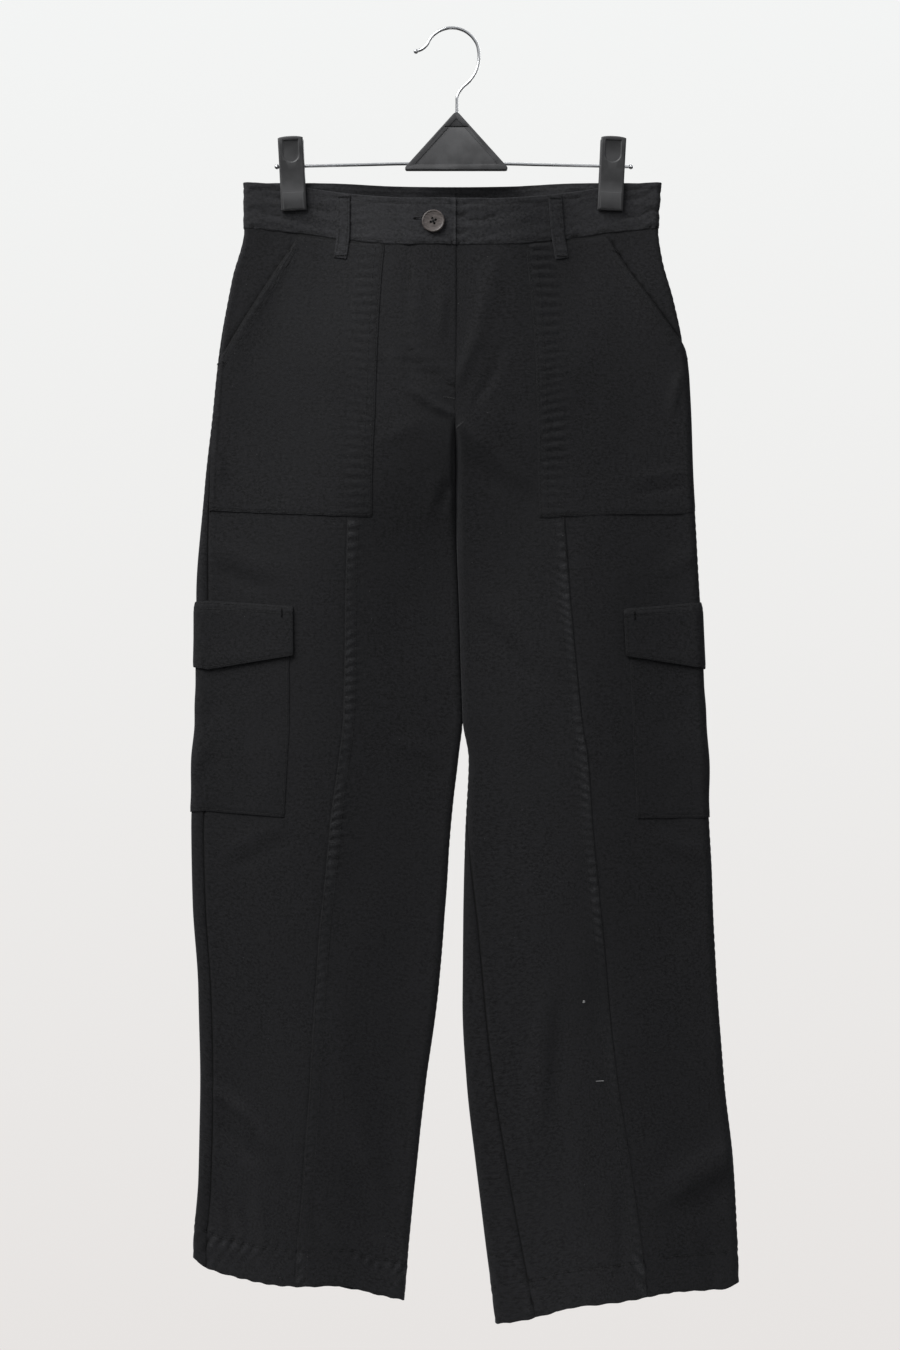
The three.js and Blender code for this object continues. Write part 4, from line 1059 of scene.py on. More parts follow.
def fly_relief(around, level):
    """A groove where the fly is stitched down, in the shape of a J, with puckers inside it."""
    down = down_at("right", around, level)
    from_centre = around * girth(RIGHT, down)
    line = read(FLY_STITCH, "down", np.clip(down, 150, 325), "from_centre")
    steep = 1 + 3.2 * ease(286, 306, down)
    off = (from_centre - line) / steep
    shown = 1 - ease(324, 330, down)
    groove = -0.45 * bell(off, 1.4) + 0.3 * bell(off + 3.4, 2.6)
    puckers = 0.16 * bell(off, 8) * ripple(down, 10.5, 1.9)
    lap_edge = -0.4 * inwards(from_centre, 0.8)
    return (groove + puckers) * shown + lap_edge


def fly_extension(level):
    """Under the lap the left front runs on past the centre."""
    down = down_at("left", 0.0, level)
    reach = (FLY_WIDTH - 2) * (1 - ease(FLY_END - 45, FLY_END - 3, down))
    return inseam("left", level) - millimetres("left", level, reach)


def centre_seam(down):
    return 0.5 * ease(FLY_END, FLY_END + 8, down) * (1 - ease(FLY_END + 16, FLY_END + 40, down))


def inseam_relief(distance, down):
    return pressed_open(distance, down, INSEAM_SEED) * ease(CROTCH, FLAT_LEGS, down)

# %% Both centre fronts
def centre_front(leg, seed):
    def relief(around, level, from_first, to_last):
        down = down_at(leg, around, level)
        closed = seam_groove(from_first) * centre_seam(down) + inseam_relief(from_first, down)
        return closed + long_seam_relief(leg, around, level, to_last, seed)
    return relief


def centre_front_right(around, level, from_first, to_last):
    sewn = centre_front("right", 0.4)(around, level, from_first, to_last)
    return sewn + fly_relief(around, level)


PANELS = {
    "front_inner_right": leg_panel(
        "front_inner_right", "right", lambda v: inseam("right", v), lambda v: front_seam("right", v),
        42, centre_front_right, 0.3, fly_lap,
    ),
    "front_inner_left": leg_panel(
        "front_inner_left", "left", fly_extension, lambda v: front_seam("left", v),
        44, centre_front("left", 2.1), 1.1,
    ),
}

# %% The mouths of the hip pockets
HIP_POCKETS = table("leg edge start end foot foot_side gape pucker", [
    ("right", 0.33, 0.742, 300, 440, 434, 1.5, 0.38),
    ("left", 0.345, 0.745, 296, 441, 434, 3.2, 0.54),
])
NEAR_SIDE = 0.48
MOUTH_SLANT = 1.9  # how much further a step across the slanted mouth is, measured downwards


def mouth_ends(leg):
    """The levels of the mouth's top and foot, and where round the leg it starts."""
    row = row_for(HIP_POCKETS, leg)
    seam_level = level_of(leg, 0.25, WAIST_SEAM + dip(0.25) + 0.3)
    end_level = level_of(leg, NEAR_SIDE, row["end"])
    return seam_level, end_level, at_share(leg, row["start"], seam_level)


def tucked_and_shadowed(leg, around, level):
    """The side front sinks where it goes in under the mouth, and as a groove it is painted dark there: a
    painted shadow line under the mouth.
    """
    seam_level, end_level, corner = mouth_ends(leg)
    along = (around - corner) / (side_seam(leg, end_level) - corner)
    above = (mix(seam_level, end_level, np.clip(along, 0, 1)) - level) * LEG_LENGTH / MOUTH_SLANT
    depth = 0.4 + 0.18 * row_for(HIP_POCKETS, leg)["gape"]
    return -depth * bell(above, 3.2) * ease(0.02, 0.1, along) * (1 - ease(0.9, 1.0, along))


print("The right mouth starts", round(float(mouth_ends("right")[2]), 3), "of the way round the leg")

# %% Side fronts and backs
def plain_sides(around, level, from_first, to_last):
    along = level * LEG_LENGTH
    return pressed_open(from_first, along, SIDE_SEED) + pressed_open(to_last, along, INSEAM_SEED)


def side_front(leg):
    def relief(around, level, from_first, to_last):
        sewn = seam_groove(from_first, 0.25) + pressed_open(to_last, level * LEG_LENGTH, SIDE_SEED)
        return sewn + tucked_and_shadowed(leg, around, level)
    return relief


def seat_seam(around, level, from_first, to_last):
    """The seam at the centre back is felled as far as the crotch, and plain below it."""
    down = down_at("right", around, level)
    seat = 1 - ease(CROTCH - 30, CROTCH - 5, down)
    felled = felled_edge(to_last, down, seed=1.4)
    plain = pressed_open(to_last, down, INSEAM_SEED)
    side = pressed_open(from_first, level * LEG_LENGTH, SIDE_SEED)
    return side + seat * felled + (1 - seat) * plain


def side_and_back(leg, seed, at_the_back):
    PANELS[f"front_outer_{leg}"] = leg_panel(
        f"front_outer_{leg}", leg, lambda v: front_seam(leg, v), lambda v: side_seam(leg, v),
        44, side_front(leg), seed,
    )
    PANELS[f"back_{leg}"] = leg_panel(
        f"back_{leg}", leg, lambda v: side_seam(leg, v), lambda v: inseam(leg, v, 1),
        70, at_the_back, seed + 0.7,
    )


side_and_back("right", 0.7, seat_seam)
side_and_back("left", 2.6, plain_sides)

# %% [markdown]
# ## The waistband
#
# One strip goes round the waist: its left end is hidden, and its right end laps over it
# at the front. It is folded along its top edge, so the grid runs up the outside, over the
# fold and down the inside, and the inside of the back shows above the lower front.

# %% The waistband's strip
BAND_MID = (BAND_CLOTH - CLOTH) / 2
BAND_LAYER = 0.62
BAND_FOLD = 0.33
BAND_FACE = BAND_MID + BAND_FOLD + BAND_LAYER / 2
BAND_COLUMNS = 129
BAND_ROWS = (2.6, BAND_DEPTH - 5.4)  # heights of its topstitching
BAND_SEEDS = {"right": 1.5, "left": 0.5}
BAND_ROUND = 800  # as ROUND, for the ripples of the waistband
LAP_SLOPE = (2, 16)


def band_rows():
    """Heights of the strip's rows over the seam, and their places in the doubled cloth."""
    top = BAND_DEPTH - BAND_LAYER / 2 - BAND_FOLD
    turn = np.linspace(0, math.pi, 7)
    even = np.linspace(0, 1, 31)[:-1]
    rising = top * (even - 0.6 * np.sin(2 * math.pi * even) / (2 * math.pi))
    rise = np.concatenate([rising, top + BAND_FOLD * np.sin(turn), rising[::-1]])
    place = np.concatenate([0 * rising + 1, np.cos(turn), 0 * rising - 1]) * BAND_FOLD
    return rise[:, None], place[:, None]


def band_lift(leg, around):
    if leg == "left":
        return BAND_MID + 0 * around
    past_lap = around * girth(RIGHT, WAIST_SEAM) - BAND_LAP
    return BAND_MID + BAND_LIFT * (1 - ease(*LAP_SLOPE, past_lap))


def band_relief(around, rise, seed):
    """Two topstitched edges, and the long shallow ripples that sewing a curved band leaves."""
    low, high = BAND_ROWS
    grooves = -0.34 * (bell(rise - low) + bell(rise - high))
    along = around * BAND_ROUND
    edges = bell(rise, 7) + 0.7 * bell(BAND_DEPTH - rise, 7)
    puckers = 0.26 * edges * ripple(along, 12, seed)
    wandering = 1.6 * np.sin(along / 38 + seed)
    ripples = 0.42 * np.sin(rise / 2.6 + wandering) * np.sin(math.pi * rise / BAND_DEPTH)
    ripples *= 0.55 + 0.45 * np.sin(along / 61 + 2 * seed)
    bent = rise / 1.3 + 2.2 * np.sin(along / 17 + seed) + 1.3 * np.sin(along / 7 + seed)
    streaks = (0.17 + 0.07 * np.sin(along / 27 + seed)) * np.sin(bent)
    # The lower edge rolls in, and is painted darker along it as shade.
    rolled_in = -0.75 * bell(rise, 1.1)
    return grooves + puckers + ripples + streaks + rolled_in


def band_half(leg, places):
    rise, place = band_rows()
    around = places[None, :]
    down = WAIST_SEAM + dip(around) - rise
    dents = band_relief(around, rise, BAND_SEEDS[leg])
    return lay(leg, around, down, band_lift(leg, around) + place + dents), dents


def waistband():
    hidden = -(BAND_LAP - 2) / float(girth(LEFT, WAIST_SEAM))
    round_it = between(0.0, 1.0, np.linspace(0, 1, BAND_COLUMNS))
    left, left_dents = band_half("left", np.concatenate([np.linspace(hidden, 0, 12)[:-1], round_it]))
    right, right_dents = band_half("right", round_it[:-1][::-1])
    points = np.concatenate([left, right], axis=1)
    _, place = band_rows()
    to_lap = np.abs(np.arange(points.shape[1]) - points.shape[1] + 1)
    rubbed = ease(0.98, 0.5, np.abs(place) / BAND_FOLD) + ease(4, 1, to_lap) * (place > 0)
    wear_and_painted_light = 0.1 + rubbed_or_painted_shade(np.concatenate([left_dents, right_dents], axis=1)) + rubbed
    piece = cloth_piece("waistband_strip", points, wear_and_painted_light, False, BAND_LAYER, TWILL_CROSSWISE)
    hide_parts("waistband")
    declare(piece, points)


waistband()

# %% [markdown]
# ## Patches: hip pockets, cargo pockets and flaps
#
# A patch is laid over the panels on the same map, a cloth's thickness further out. It is
# described by its two side edges, given for each level, and by its top and bottom edges,
# given across its width. A function of the place gives how far it stands off, so the
# stitches can ask the same function later.

# %% Laying a patch
POCKET_LIFT = THIN + 0.15
POCKET_FACE = POCKET_LIFT + THIN / 2
FLAP_WALL = 1.5
LOOP_WALL = 1.2


def patch(
    name, leg, edges, ends, stand, columns, rows, wall, material,
    rounded=0.22, bend=(0.5, 0.5),
):
    first, last = edges
    top, bottom = ends
    heights = float(top(np.array(0.5))), float(bottom(np.array(0.5)))
    tall = (heights[1] - heights[0]) * LEG_LENGTH
    round_here = float(girth(LEGS[leg], down_at(leg, 0.25, sum(heights) / 2)))
    across = float(last(heights[0]) - first(heights[0])) * round_here
    share = edged(columns, across, bend)[None, :]
    level = mix(top(share), bottom(share), edged(rows, tall)[:, None])
    around = between(first(level), last(level), share)
    flat = np.stack(np.broadcast_arrays(around * round_here, -down_at(leg, around, level)), axis=-1)
    lift, dents = stand(around, level)
    above, below = (level - top(share)) * LEG_LENGTH, (bottom(share) - level) * LEG_LENGTH
    to_edges = (*from_edges(leg, edges, around, level), above, below)
    # Every edge rolls in a little, and is painted a little darker there as shade.
    dents = dents - sum(0.34 * inwards(distance, 0.7) for distance in to_edges)
    points = lay(leg, around, down_at(leg, around, level), lift + dents)
    wear_and_painted_light = rubbed_or_painted_shade(dents)
    piece = cloth_piece(name, points, wear_and_painted_light, leg == "left", wall, material, rounded, flat)
    declare(piece, points)
    return piece, SimpleNamespace(
        leg=leg, first=first, last=last, top=top, bottom=bottom, wall=wall,
        stand=lambda a, v: sum(stand(a, v)),
    )


def from_edges(leg, edges, around, level):
    leg_girth = girth(LEGS[leg], down_at(leg, around, level))
    return (around - edges[0](level)) * leg_girth, (edges[1](level) - around) * leg_girth

# %% [markdown]
# ### Hip pockets
#
# The mouth slants from the waistband down to the side seam, and its turned edge gapes a
# little, so the patch stands off most just under it. The inner edge is sewn twice, and
# the wide turning inside it puckers into short rungs all the way down.

# %% Hip pockets
POCKET_BAND = 25.0  # the wide turning inside the pocket's inner edge
HIP_LINES = (1.8, 8.0)  # its rows of stitches, in from that edge
MOUTH_LINES = (2.0, 8.5)
FOOT_ROUND = 560  # as ROUND, for the puckers along its foot


def hip_pocket(leg, seed):
    row = row_for(HIP_POCKETS, leg)
    seam_level, end_level, corner = mouth_ends(leg)

    def first(level):
        return at_share(leg, row["edge"], level)

    def last(level):
        return side_seam(leg, level) - millimetres(leg, level, 0.3)

    corner_share = share_of(first(seam_level), last(seam_level), corner)

    def mouth(share):
        level = seam_level + 0 * share
        for _ in range(8):
            around = between(first(level), last(level), share)
            along = np.clip((around - corner) / (last(end_level) - corner), 0, 1)
            level = mix(seam_level, end_level, along)
        return level

    def foot(share):
        around = mix(row["edge"] / 2, NEAR_SIDE, share)
        return level_of(leg, around, mix(row["foot"], row["foot_side"], share))

    def stand(around, level):
        share = np.clip(share_of(first(level), last(level), around), 0, 1)
        inner, outer = from_edges(leg, (first, last), around, level)
        down = down_at(leg, around, level)
        below_mouth = (level - mouth(share)) * LEG_LENGTH / MOUTH_SLANT
        above_foot = (foot(share) - level) * LEG_LENGTH
        past_corner = np.clip((around - corner) / (last(end_level) - corner), 0, 1)
        height = (level - mouth(share)) / (foot(share) - mouth(share))
        gape = row["gape"] * np.sin(math.pi * past_corner**1.3) * bell(height, 0.2)
        band = ease(1.5, 6, inner) * (1 - ease(POCKET_BAND - 5, POCKET_BAND + 4, inner))
        uneven = row["pucker"] * (0.85 + 0.2 * np.sin(down / 17 + inner / 9 + 2 * seed))
        rungs = ripple(down + 0.12 * inner + 1.0 * np.sin(inner / 7 + down / 31), 8.2, 1.2 + seed)
        dents = uneven * band * rungs
        dents -= 0.3 * bell(inner - HIP_LINES[0]) + 0.3 * bell(above_foot - HIP_LINES[0])
        dents -= 0.25 * bell(inner - POCKET_BAND)
        on_mouth = ease(0.02, 0.1, past_corner)
        rim = ease(1, 4, below_mouth) * (1 - ease(9, 15, below_mouth))
        inside_side = 1 - ease(0.6, 0.85, past_corner)
        dents += on_mouth * rim * inside_side * (0.2 + 0.4 * ripple(down * 1.14, 10.0, 3.1 + seed))
        dents += 0.42 * bell(outer - 3.5, 1.5)
        # The lip of the mouth rolls in, and is painted dark along it as shade.
        dents -= 0.8 * inwards(below_mouth, 1.1)
        for line in MOUTH_LINES:
            dents -= on_mouth * 0.16 * bell(below_mouth - line)
        dents += 0.16 * bell(above_foot, 6) * ripple(around * FOOT_ROUND, 10, 0.8)
        return POCKET_LIFT + gape + slack(around, down, 0.3), dents

    piece, shape = patch(
        f"hip_pocket_{leg}_patch", leg, (first, last), (mouth, foot), stand, 108, 140, THIN, TWILL,
        bend=(0.34, 0.6),
    )
    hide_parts(f"hip_pocket_{leg}")
    shape.corner_share = corner_share
    return shape


PATCHES = {"hip_right": hip_pocket("right", 0), "hip_left": hip_pocket("left", 1)}

# %% [markdown]
# ### Cargo pockets and flaps
#
# Both lie across the side seam, half on the front and half on the back, so their edges
# are measured from that seam on either side. The flap's foot comes to a point on the
# seam. Its top is sewn flat, and below that it rises over the pocket.

# %% Lines and edges on both sides of the side seam
POCKET_HALF, FLAP_HALF = 73, 77
EDGE_LINE = 2.0  # stitches run this far in from the edges
FLAP_LINES = (1.6, 7.0)  # and this far under a flap's top
POCKET_DROP = 10
POCKET_PUFF = 1.6
FLAP_LIFT = (THIN + FLAP_WALL) / 2 + 0.15
FLAP_OVER = POCKET_FACE + FLAP_WALL / 2 + 0.35
FLAP_RISEN = 0.12
CARGO = table("leg flap_middle flap_edge point_middle point_edge foot_middle foot_edge", [
    ("right", 514.5, 519.5, 576, 563.5, 703, 708.5),
    ("left", 515.5, 522.0, 576, 564.0, 709, 709.5),
])


def tented(leg, half, middle, edge):
    """A line across a patch on the side seam, highest or lowest at the seam."""
    def line(share):
        seam = side_seam(leg, level_of(leg, 0.5, middle))
        reach = millimetres(leg, level_of(leg, 0.5, middle), half)
        around = between(seam - reach, seam + reach, share)
        return level_of(leg, around, mix(middle, edge, np.abs(around - seam) / reach))
    return line


def over_side_seam(leg, half):
    return (
        lambda v: side_seam(leg, v) - millimetres(leg, v, half),
        lambda v: side_seam(leg, v) + millimetres(leg, v, half),
    )


def edge_dents(distances, depth=0.24, line=EDGE_LINE):
    return sum(-depth * bell(distance - line) for distance in distances)

# %% A cargo pocket
def cargo_pocket(leg):
    row = row_for(CARGO, leg)
    edges = over_side_seam(leg, POCKET_HALF)
    ends = (
        tented(leg, POCKET_HALF, row["flap_middle"] + POCKET_DROP, row["flap_edge"] + POCKET_DROP),
        tented(leg, POCKET_HALF, row["foot_middle"], row["foot_edge"]),
    )

    def stand(around, level):
        share = np.clip(share_of(edges[0](level), edges[1](level), around), 0, 1)
        height = (level - ends[0](share)) / (ends[1](share) - ends[0](share))
        upright = ease(0.35, 0.65, height) * (1 - ease(0.8, 1, height))
        before, after = from_edges(leg, edges, around, level)
        above_foot = (ends[1](share) - level) * LEG_LENGTH
        down = down_at(leg, around, level)
        sag = 0.45 * np.sin(height * 21 + 1.2 * np.sin(around * 60)) * np.sin(math.pi * share)
        sag = sag * ease(0.3, 0.5, height)
        near = bell(before, 5) + bell(after, 5)
        dents = edge_dents((before, after, above_foot)) + 0.13 * near * ripple(down, 9.5, 0.4)
        dents += 0.12 * bell(above_foot, 5) * ripple(around * ROUND, 9, 2.2)
        return POCKET_LIFT + POCKET_PUFF * np.sin(math.pi * share) * upright + sag, dents

    piece, shape = patch(
        f"cargo_pocket_{leg}_patch", leg, edges, ends, stand, 84, 96, THIN, TWILL,
    )
    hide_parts(f"cargo_pocket_{leg}")
    return shape

# %% The flap over it
def cargo_flap(leg):
    row = row_for(CARGO, leg)
    edges = over_side_seam(leg, FLAP_HALF)
    ends = (
        tented(leg, FLAP_HALF, row["flap_middle"], row["flap_edge"]),
        tented(leg, FLAP_HALF, row["point_middle"], row["point_edge"]),
    )

    def stand(around, level):
        share = np.clip(share_of(edges[0](level), edges[1](level), around), 0, 1)
        height = np.clip((level - ends[0](share)) / (ends[1](share) - ends[0](share)), 0, 1)
        before, after = from_edges(leg, edges, around, level)
        below_top = (level - ends[0](share)) * LEG_LENGTH
        above_foot = (ends[1](share) - level) * LEG_LENGTH
        lines = edge_dents((before, after, above_foot)) + edge_dents((below_top,), 0.3, FLAP_LINES[1])
        dents = lines + 0.14 * bell(below_top, 9) * ripple(around * ROUND, 10, 1.1)
        curl = 0.8 * ease(0.5, 1, height) * np.sin(math.pi * share * 2 + 0.6) ** 2
        return mix(FLAP_LIFT, FLAP_OVER, ease(0, FLAP_RISEN, height)) + curl, dents

    piece, shape = patch(
        f"cargo_flap_{leg}_patch", leg, edges, ends, stand, 96, 40, FLAP_WALL, TWILL,
        0.4,
    )
    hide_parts(f"cargo_flap_{leg}")
    return shape


for leg in LEGS:
    PATCHES[f"cargo_{leg}"] = cargo_pocket(leg)
    PATCHES[f"flap_{leg}"] = cargo_flap(leg)

# %% [markdown]
# ## Belt loops
#
# A loop is a narrow strip, folded in three and stitched along both edges, that arches over
# the waistband and is tacked down at its ends. The two in front sit on the hip pockets.

# %% Belt loops
LOOP_WIDTH = 12
LOOP_TAIL = 17
LOOP_ARCH = 0.4
LOOP_GAP = 0.25
LOOP_INSET = 1
LOOP_LINE = 2.2  # its stitches, in from both edges
LOOP_TACKS = (0.05, 0.96)  # heights of its bar tacks, from its top
LOOPS = table("name leg top foot base", [
    ("front_right", "right", 0.262, 0.262, POCKET_FACE),
    ("front_left", "left", 0.24, 0.254, POCKET_FACE),
    ("back_right", "right", 0.74, 0.74, THIN / 2),
    ("back_left", "left", 0.74, 0.74, THIN / 2),
    ("back_centre", "left", 1.0, 1.0, THIN / 2),
])


def belt_loop(i):
    name, leg = (str(LOOPS[column][i]) for column in ("name", "leg"))
    top, foot, base = (float(LOOPS[column][i]) for column in ("top", "foot", "base"))
    over_band = BAND_DEPTH - LOOP_INSET
    top_level = level_of(leg, top, WAIST_SEAM + dip(top) - over_band)
    foot_level = level_of(leg, foot, WAIST_SEAM + dip(foot) + LOOP_TAIL)
    seam_share = over_band / (over_band + LOOP_TAIL)

    def middle(level):
        return mix(top, foot, (level - top_level) / (foot_level - top_level))

    edges = (
        lambda v: middle(v) - millimetres(leg, v, LOOP_WIDTH / 2),
        lambda v: middle(v) + millimetres(leg, v, LOOP_WIDTH / 2),
    )
    ends = (lambda share: top_level + 0 * share, lambda share: foot_level + 0 * share)

    def stand(around, level):
        height = np.clip((level - top_level) / (foot_level - top_level), 0, 1)
        arch = LOOP_ARCH * np.sin(math.pi * np.minimum(1, height / (seam_share + 0.1))) ** 2
        before, after = from_edges(leg, edges, around, level)
        near = bell(before - LOOP_LINE) + bell(after - LOOP_LINE)
        tacked = bell(height - LOOP_TACKS[1], 0.02) + bell(height - LOOP_TACKS[0], 0.03)
        dents = -0.16 * near - 0.2 * tacked + 0.10 * ripple(level * LEG_LENGTH, 7.5, i + 0.3)
        bases = mix(BAND_FACE, base, ease(seam_share + 0.05, 1, height)) + LOOP_GAP + LOOP_WALL / 2
        return bases + arch, dents + 0 * around

    piece, shape = patch(
        f"belt_loop_{name}_strip", leg, edges, ends, stand, 16, 48, LOOP_WALL, TWILL_CROSSWISE,
        0.4,
    )
    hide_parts(f"belt_loop_{name}")
    return shape


for i in range(len(LOOPS["name"])):
    PATCHES[f"loop_{LOOPS['name'][i]}"] = belt_loop(i)

# %% [markdown]
# ## Stitches
#
# Every seam that shows is sewn with black thread. A row of stitches is one thin thread that
# comes up, runs along the cloth and goes down again, so a curve with a round bevel makes
# each row. All the rows of a piece are joined into one mesh. Bar tacks are the same thread,
# in a dense zigzag, and two of them at the foot of the fly are sewn in a pale thread.

# %% Rows of stitches
STITCH = 3.2
STITCH_GAP = 0.5
STITCH_RISE = 0.35  # the length in which the thread comes up
THREAD_RADIUS = 0.19
THREAD_SINK = 0.25


def evenly(points, normals, step):
    """Points and normals at even steps along a polyline."""
    run = np.concatenate([[0], np.cumsum(np.linalg.norm(np.diff(points, axis=0), axis=1))])
    at = np.arange(0, run[-1], step)
    def spread(values):
        return np.stack([np.interp(at, run, values[:, k]) for k in range(3)], axis=1)
    return spread(points), spread(normals)


def stitches_along(points, normals):
    """Stitches along a line: at each the thread comes up, runs on and goes down again."""
    ends, normals = evenly(points, normals, STITCH)
    a, b, n = ends[:-1], ends[1:], normals[:-1]
    along = (b - a) / STITCH
    down, up = along * (STITCH_GAP / 2), along * (STITCH_GAP / 2 + STITCH_RISE)
    under, over = n * -THREAD_SINK, n * (THREAD_RADIUS * 0.75)
    knots = [a + down + under, a + up + over, b - up + over, b - down + under]
    return np.stack(knots, axis=1).reshape(-1, 3)


def stitch_row(shape, around, level):
    """One row of stitches along a line of places on a panel or a patch."""
    down = down_at(shape.leg, around, level)
    _, normal = cloth_at(shape.leg, around, down)
    face = lay(shape.leg, around, down, shape.stand(around, level) + shape.wall / 2)
    return stitches_along(face, normal)


def round_curve(name, radius, smoothness):
    """An empty curve that will be a thread or a wire of round section."""
    curve = bpy.data.curves.new(name, "CURVE")
    curve.dimensions = "3D"
    curve.bevel_depth = radius * MM
    curve.bevel_resolution = smoothness
    curve.use_fill_caps = True
    return curve


def curve_to_mesh(name, curve):
    route = add_object(name, curve)
    graph = bpy.context.evaluated_depsgraph_get()
    mesh = bpy.data.meshes.new_from_object(route.evaluated_get(graph))
    bpy.data.objects.remove(route)
    bpy.data.curves.remove(curve)
    mesh.name = name
    return mesh

# %% Thread as a mesh
def thread_piece(name, rows, material=THREAD, radius=THREAD_RADIUS):
    """Joins rows of thread, each a list of points in millimetres, into one mesh."""
    curve = round_curve(name, radius, 0)
    for row in rows:
        spline = curve.splines.new("POLY")
        spline.points.add(len(row) - 1)
        knots = np.concatenate([row * MM, np.ones((len(row), 1))], axis=1)
        spline.points.foreach_set("co", knots.astype(np.float32).ravel())
    mesh = curve_to_mesh(name, curve)
    mesh.shade_smooth()
    link(name, mesh, material)
    print(f"{name}: {len(rows)} rows, {len(mesh.polygons)} faces")

# %% Rows beside the edges of a piece
LINE = np.linspace(0, 1, 400)


def upright_row(shape, distance, start, end, from_last=False):
    """A row beside an upright edge, `distance` in from it, between two levels."""
    level = mix(start, end, LINE)
    step = millimetres(shape.leg, level, distance)
    around = shape.last(level) - step if from_last else shape.first(level) + step
    return stitch_row(shape, around, level)


def cross_row(shape, line, offset, start, end):
    """A row along a top or bottom edge, `offset` under it."""
    share = mix(start, end, LINE)
    level = line(share) + offset / LEG_LENGTH
    return stitch_row(shape, between(shape.first(level), shape.last(level), share), level)

# %% Stitching the panels
FELL_LINES = (1.6, FELL)


def panel_rows():
    rows = []
    for leg in LEGS:
        inner, back = PANELS[f"front_inner_{leg}"], PANELS[f"back_{leg}"]
        seam_start = float(level_of(leg, 0.22, LEG_SEAM_START + 2.0))
        for distance in FELL_LINES:
            rows.append(upright_row(inner, distance, seam_start, 0.998, from_last=True))
        for name in ("front_inner", "front_outer", "back"):
            shape = PANELS[f"{name}_{leg}"]
            level = HEM_LEVEL + 0 * LINE
            around = between(shape.first(level), shape.last(level), LINE)
            rows.append(stitch_row(shape, around, level))
        if leg == "right":
            crotch = float(level_of(leg, 1.0, CROTCH - 18.0))
            for distance in FELL_LINES:
                rows.append(upright_row(back, distance, 0.004, crotch, from_last=True))
    return rows


def fly_row():
    """The J that stitches the fly down."""
    down = np.linspace(*FLY_STITCHED, len(LINE))
    around = np.maximum(read(FLY_STITCH, "down", down, "from_centre"), 0.6) / girth(RIGHT, down)
    return stitch_row(PANELS["front_inner_right"], around, level_of("right", around, down))


thread_piece("panel_stitches", [*panel_rows(), fly_row()])

# %% Stitching the pockets, flaps and loops
def pocket_rows():
    rows = []
    for leg in LEGS:
        hip = PATCHES[f"hip_{leg}"]
        foot = float(hip.bottom(np.array(0.0)))
        for distance in HIP_LINES:
            rows.append(upright_row(hip, distance, 0.004, foot - 0.002))
        rows.append(cross_row(hip, hip.bottom, -HIP_LINES[0], 0.01, 0.99))
        corner = float(hip.corner_share) + 0.02
        for distance in MOUTH_LINES:
            rows.append(cross_row(hip, hip.top, distance * MOUTH_SLANT, corner, 0.985))
        cargo, flap = PATCHES[f"cargo_{leg}"], PATCHES[f"flap_{leg}"]
        for from_last in (False, True):
            share = np.array(1.0 if from_last else 0.0)
            ends = float(cargo.top(share)) + 0.03, float(cargo.bottom(share)) - 0.002
            rows.append(upright_row(cargo, EDGE_LINE, *ends, from_last))
            ends = float(flap.top(share)) + 0.002, float(flap.bottom(share)) - 0.002
            rows.append(upright_row(flap, EDGE_LINE, *ends, from_last))
        rows.append(cross_row(cargo, cargo.bottom, -EDGE_LINE, 0.02, 0.98))
        rows.append(cross_row(flap, flap.bottom, -EDGE_LINE, 0.02, 0.98))
        for distance in FLAP_LINES:
            rows.append(cross_row(flap, flap.top, distance, 0.01, 0.99))
    return rows


def loop_rows():
    rows = []
    for name in LOOPS["name"]:
        loop = PATCHES[f"loop_{name}"]
        ends = float(loop.top(np.array(0.0))) + 0.002, float(loop.bottom(np.array(0.0))) - 0.002
        for from_last in (False, True):
            rows.append(upright_row(loop, LOOP_LINE, *ends, from_last))
    return rows


thread_piece("pocket_stitches", pocket_rows())
thread_piece("loop_stitches", loop_rows())

# %% Stitching the waistband
def band_row(leg, places, rise):
    down = WAIST_SEAM + dip(places) - rise
    _, normal = cloth_at(leg, places, down)
    dents = band_relief(places, rise, BAND_SEEDS[leg])
    lift = band_lift(leg, places) + BAND_FOLD + BAND_LAYER / 2 + dents
    return stitches_along(lay(leg, places, down, lift), normal)


BAND_PLACES = between(0.006, 0.998, LINE)
thread_piece(
    "waistband_stitches", [band_row(leg, BAND_PLACES, rise) for rise in BAND_ROWS for leg in LEGS],
)

# %% Bar tacks
def zigzag(shape, start, end, wide, turns):
    """A bar tack from one place to another, each given by millimetres round the leg, and down."""
    t = np.linspace(0, 1, 2 * turns + 1)
    run = np.array(end, float) - np.array(start, float)
    side = np.array([-run[1], run[0]]) / np.hypot(*run) * wide / 2
    sway = np.where(np.arange(len(t)) % 2, 1.0, -1.0)
    from_first = start[0] + run[0] * t + side[0] * sway
    down = start[1] + run[1] * t + side[1] * sway
    around = from_first / girth(LEGS[shape.leg], down)
    level = level_of(shape.leg, around, down)
    lift = shape.stand(around, level) + shape.wall / 2 + THREAD_RADIUS * 0.6
    return lay(shape.leg, around, down, lift)


def around_mm(shape, level, share):
    """Millimetres round the leg of a share across a patch, at a level."""
    around = between(shape.first(level), shape.last(level), share)
    down = down_at(shape.leg, around, level)
    return float(around * girth(LEGS[shape.leg], down)), float(down)


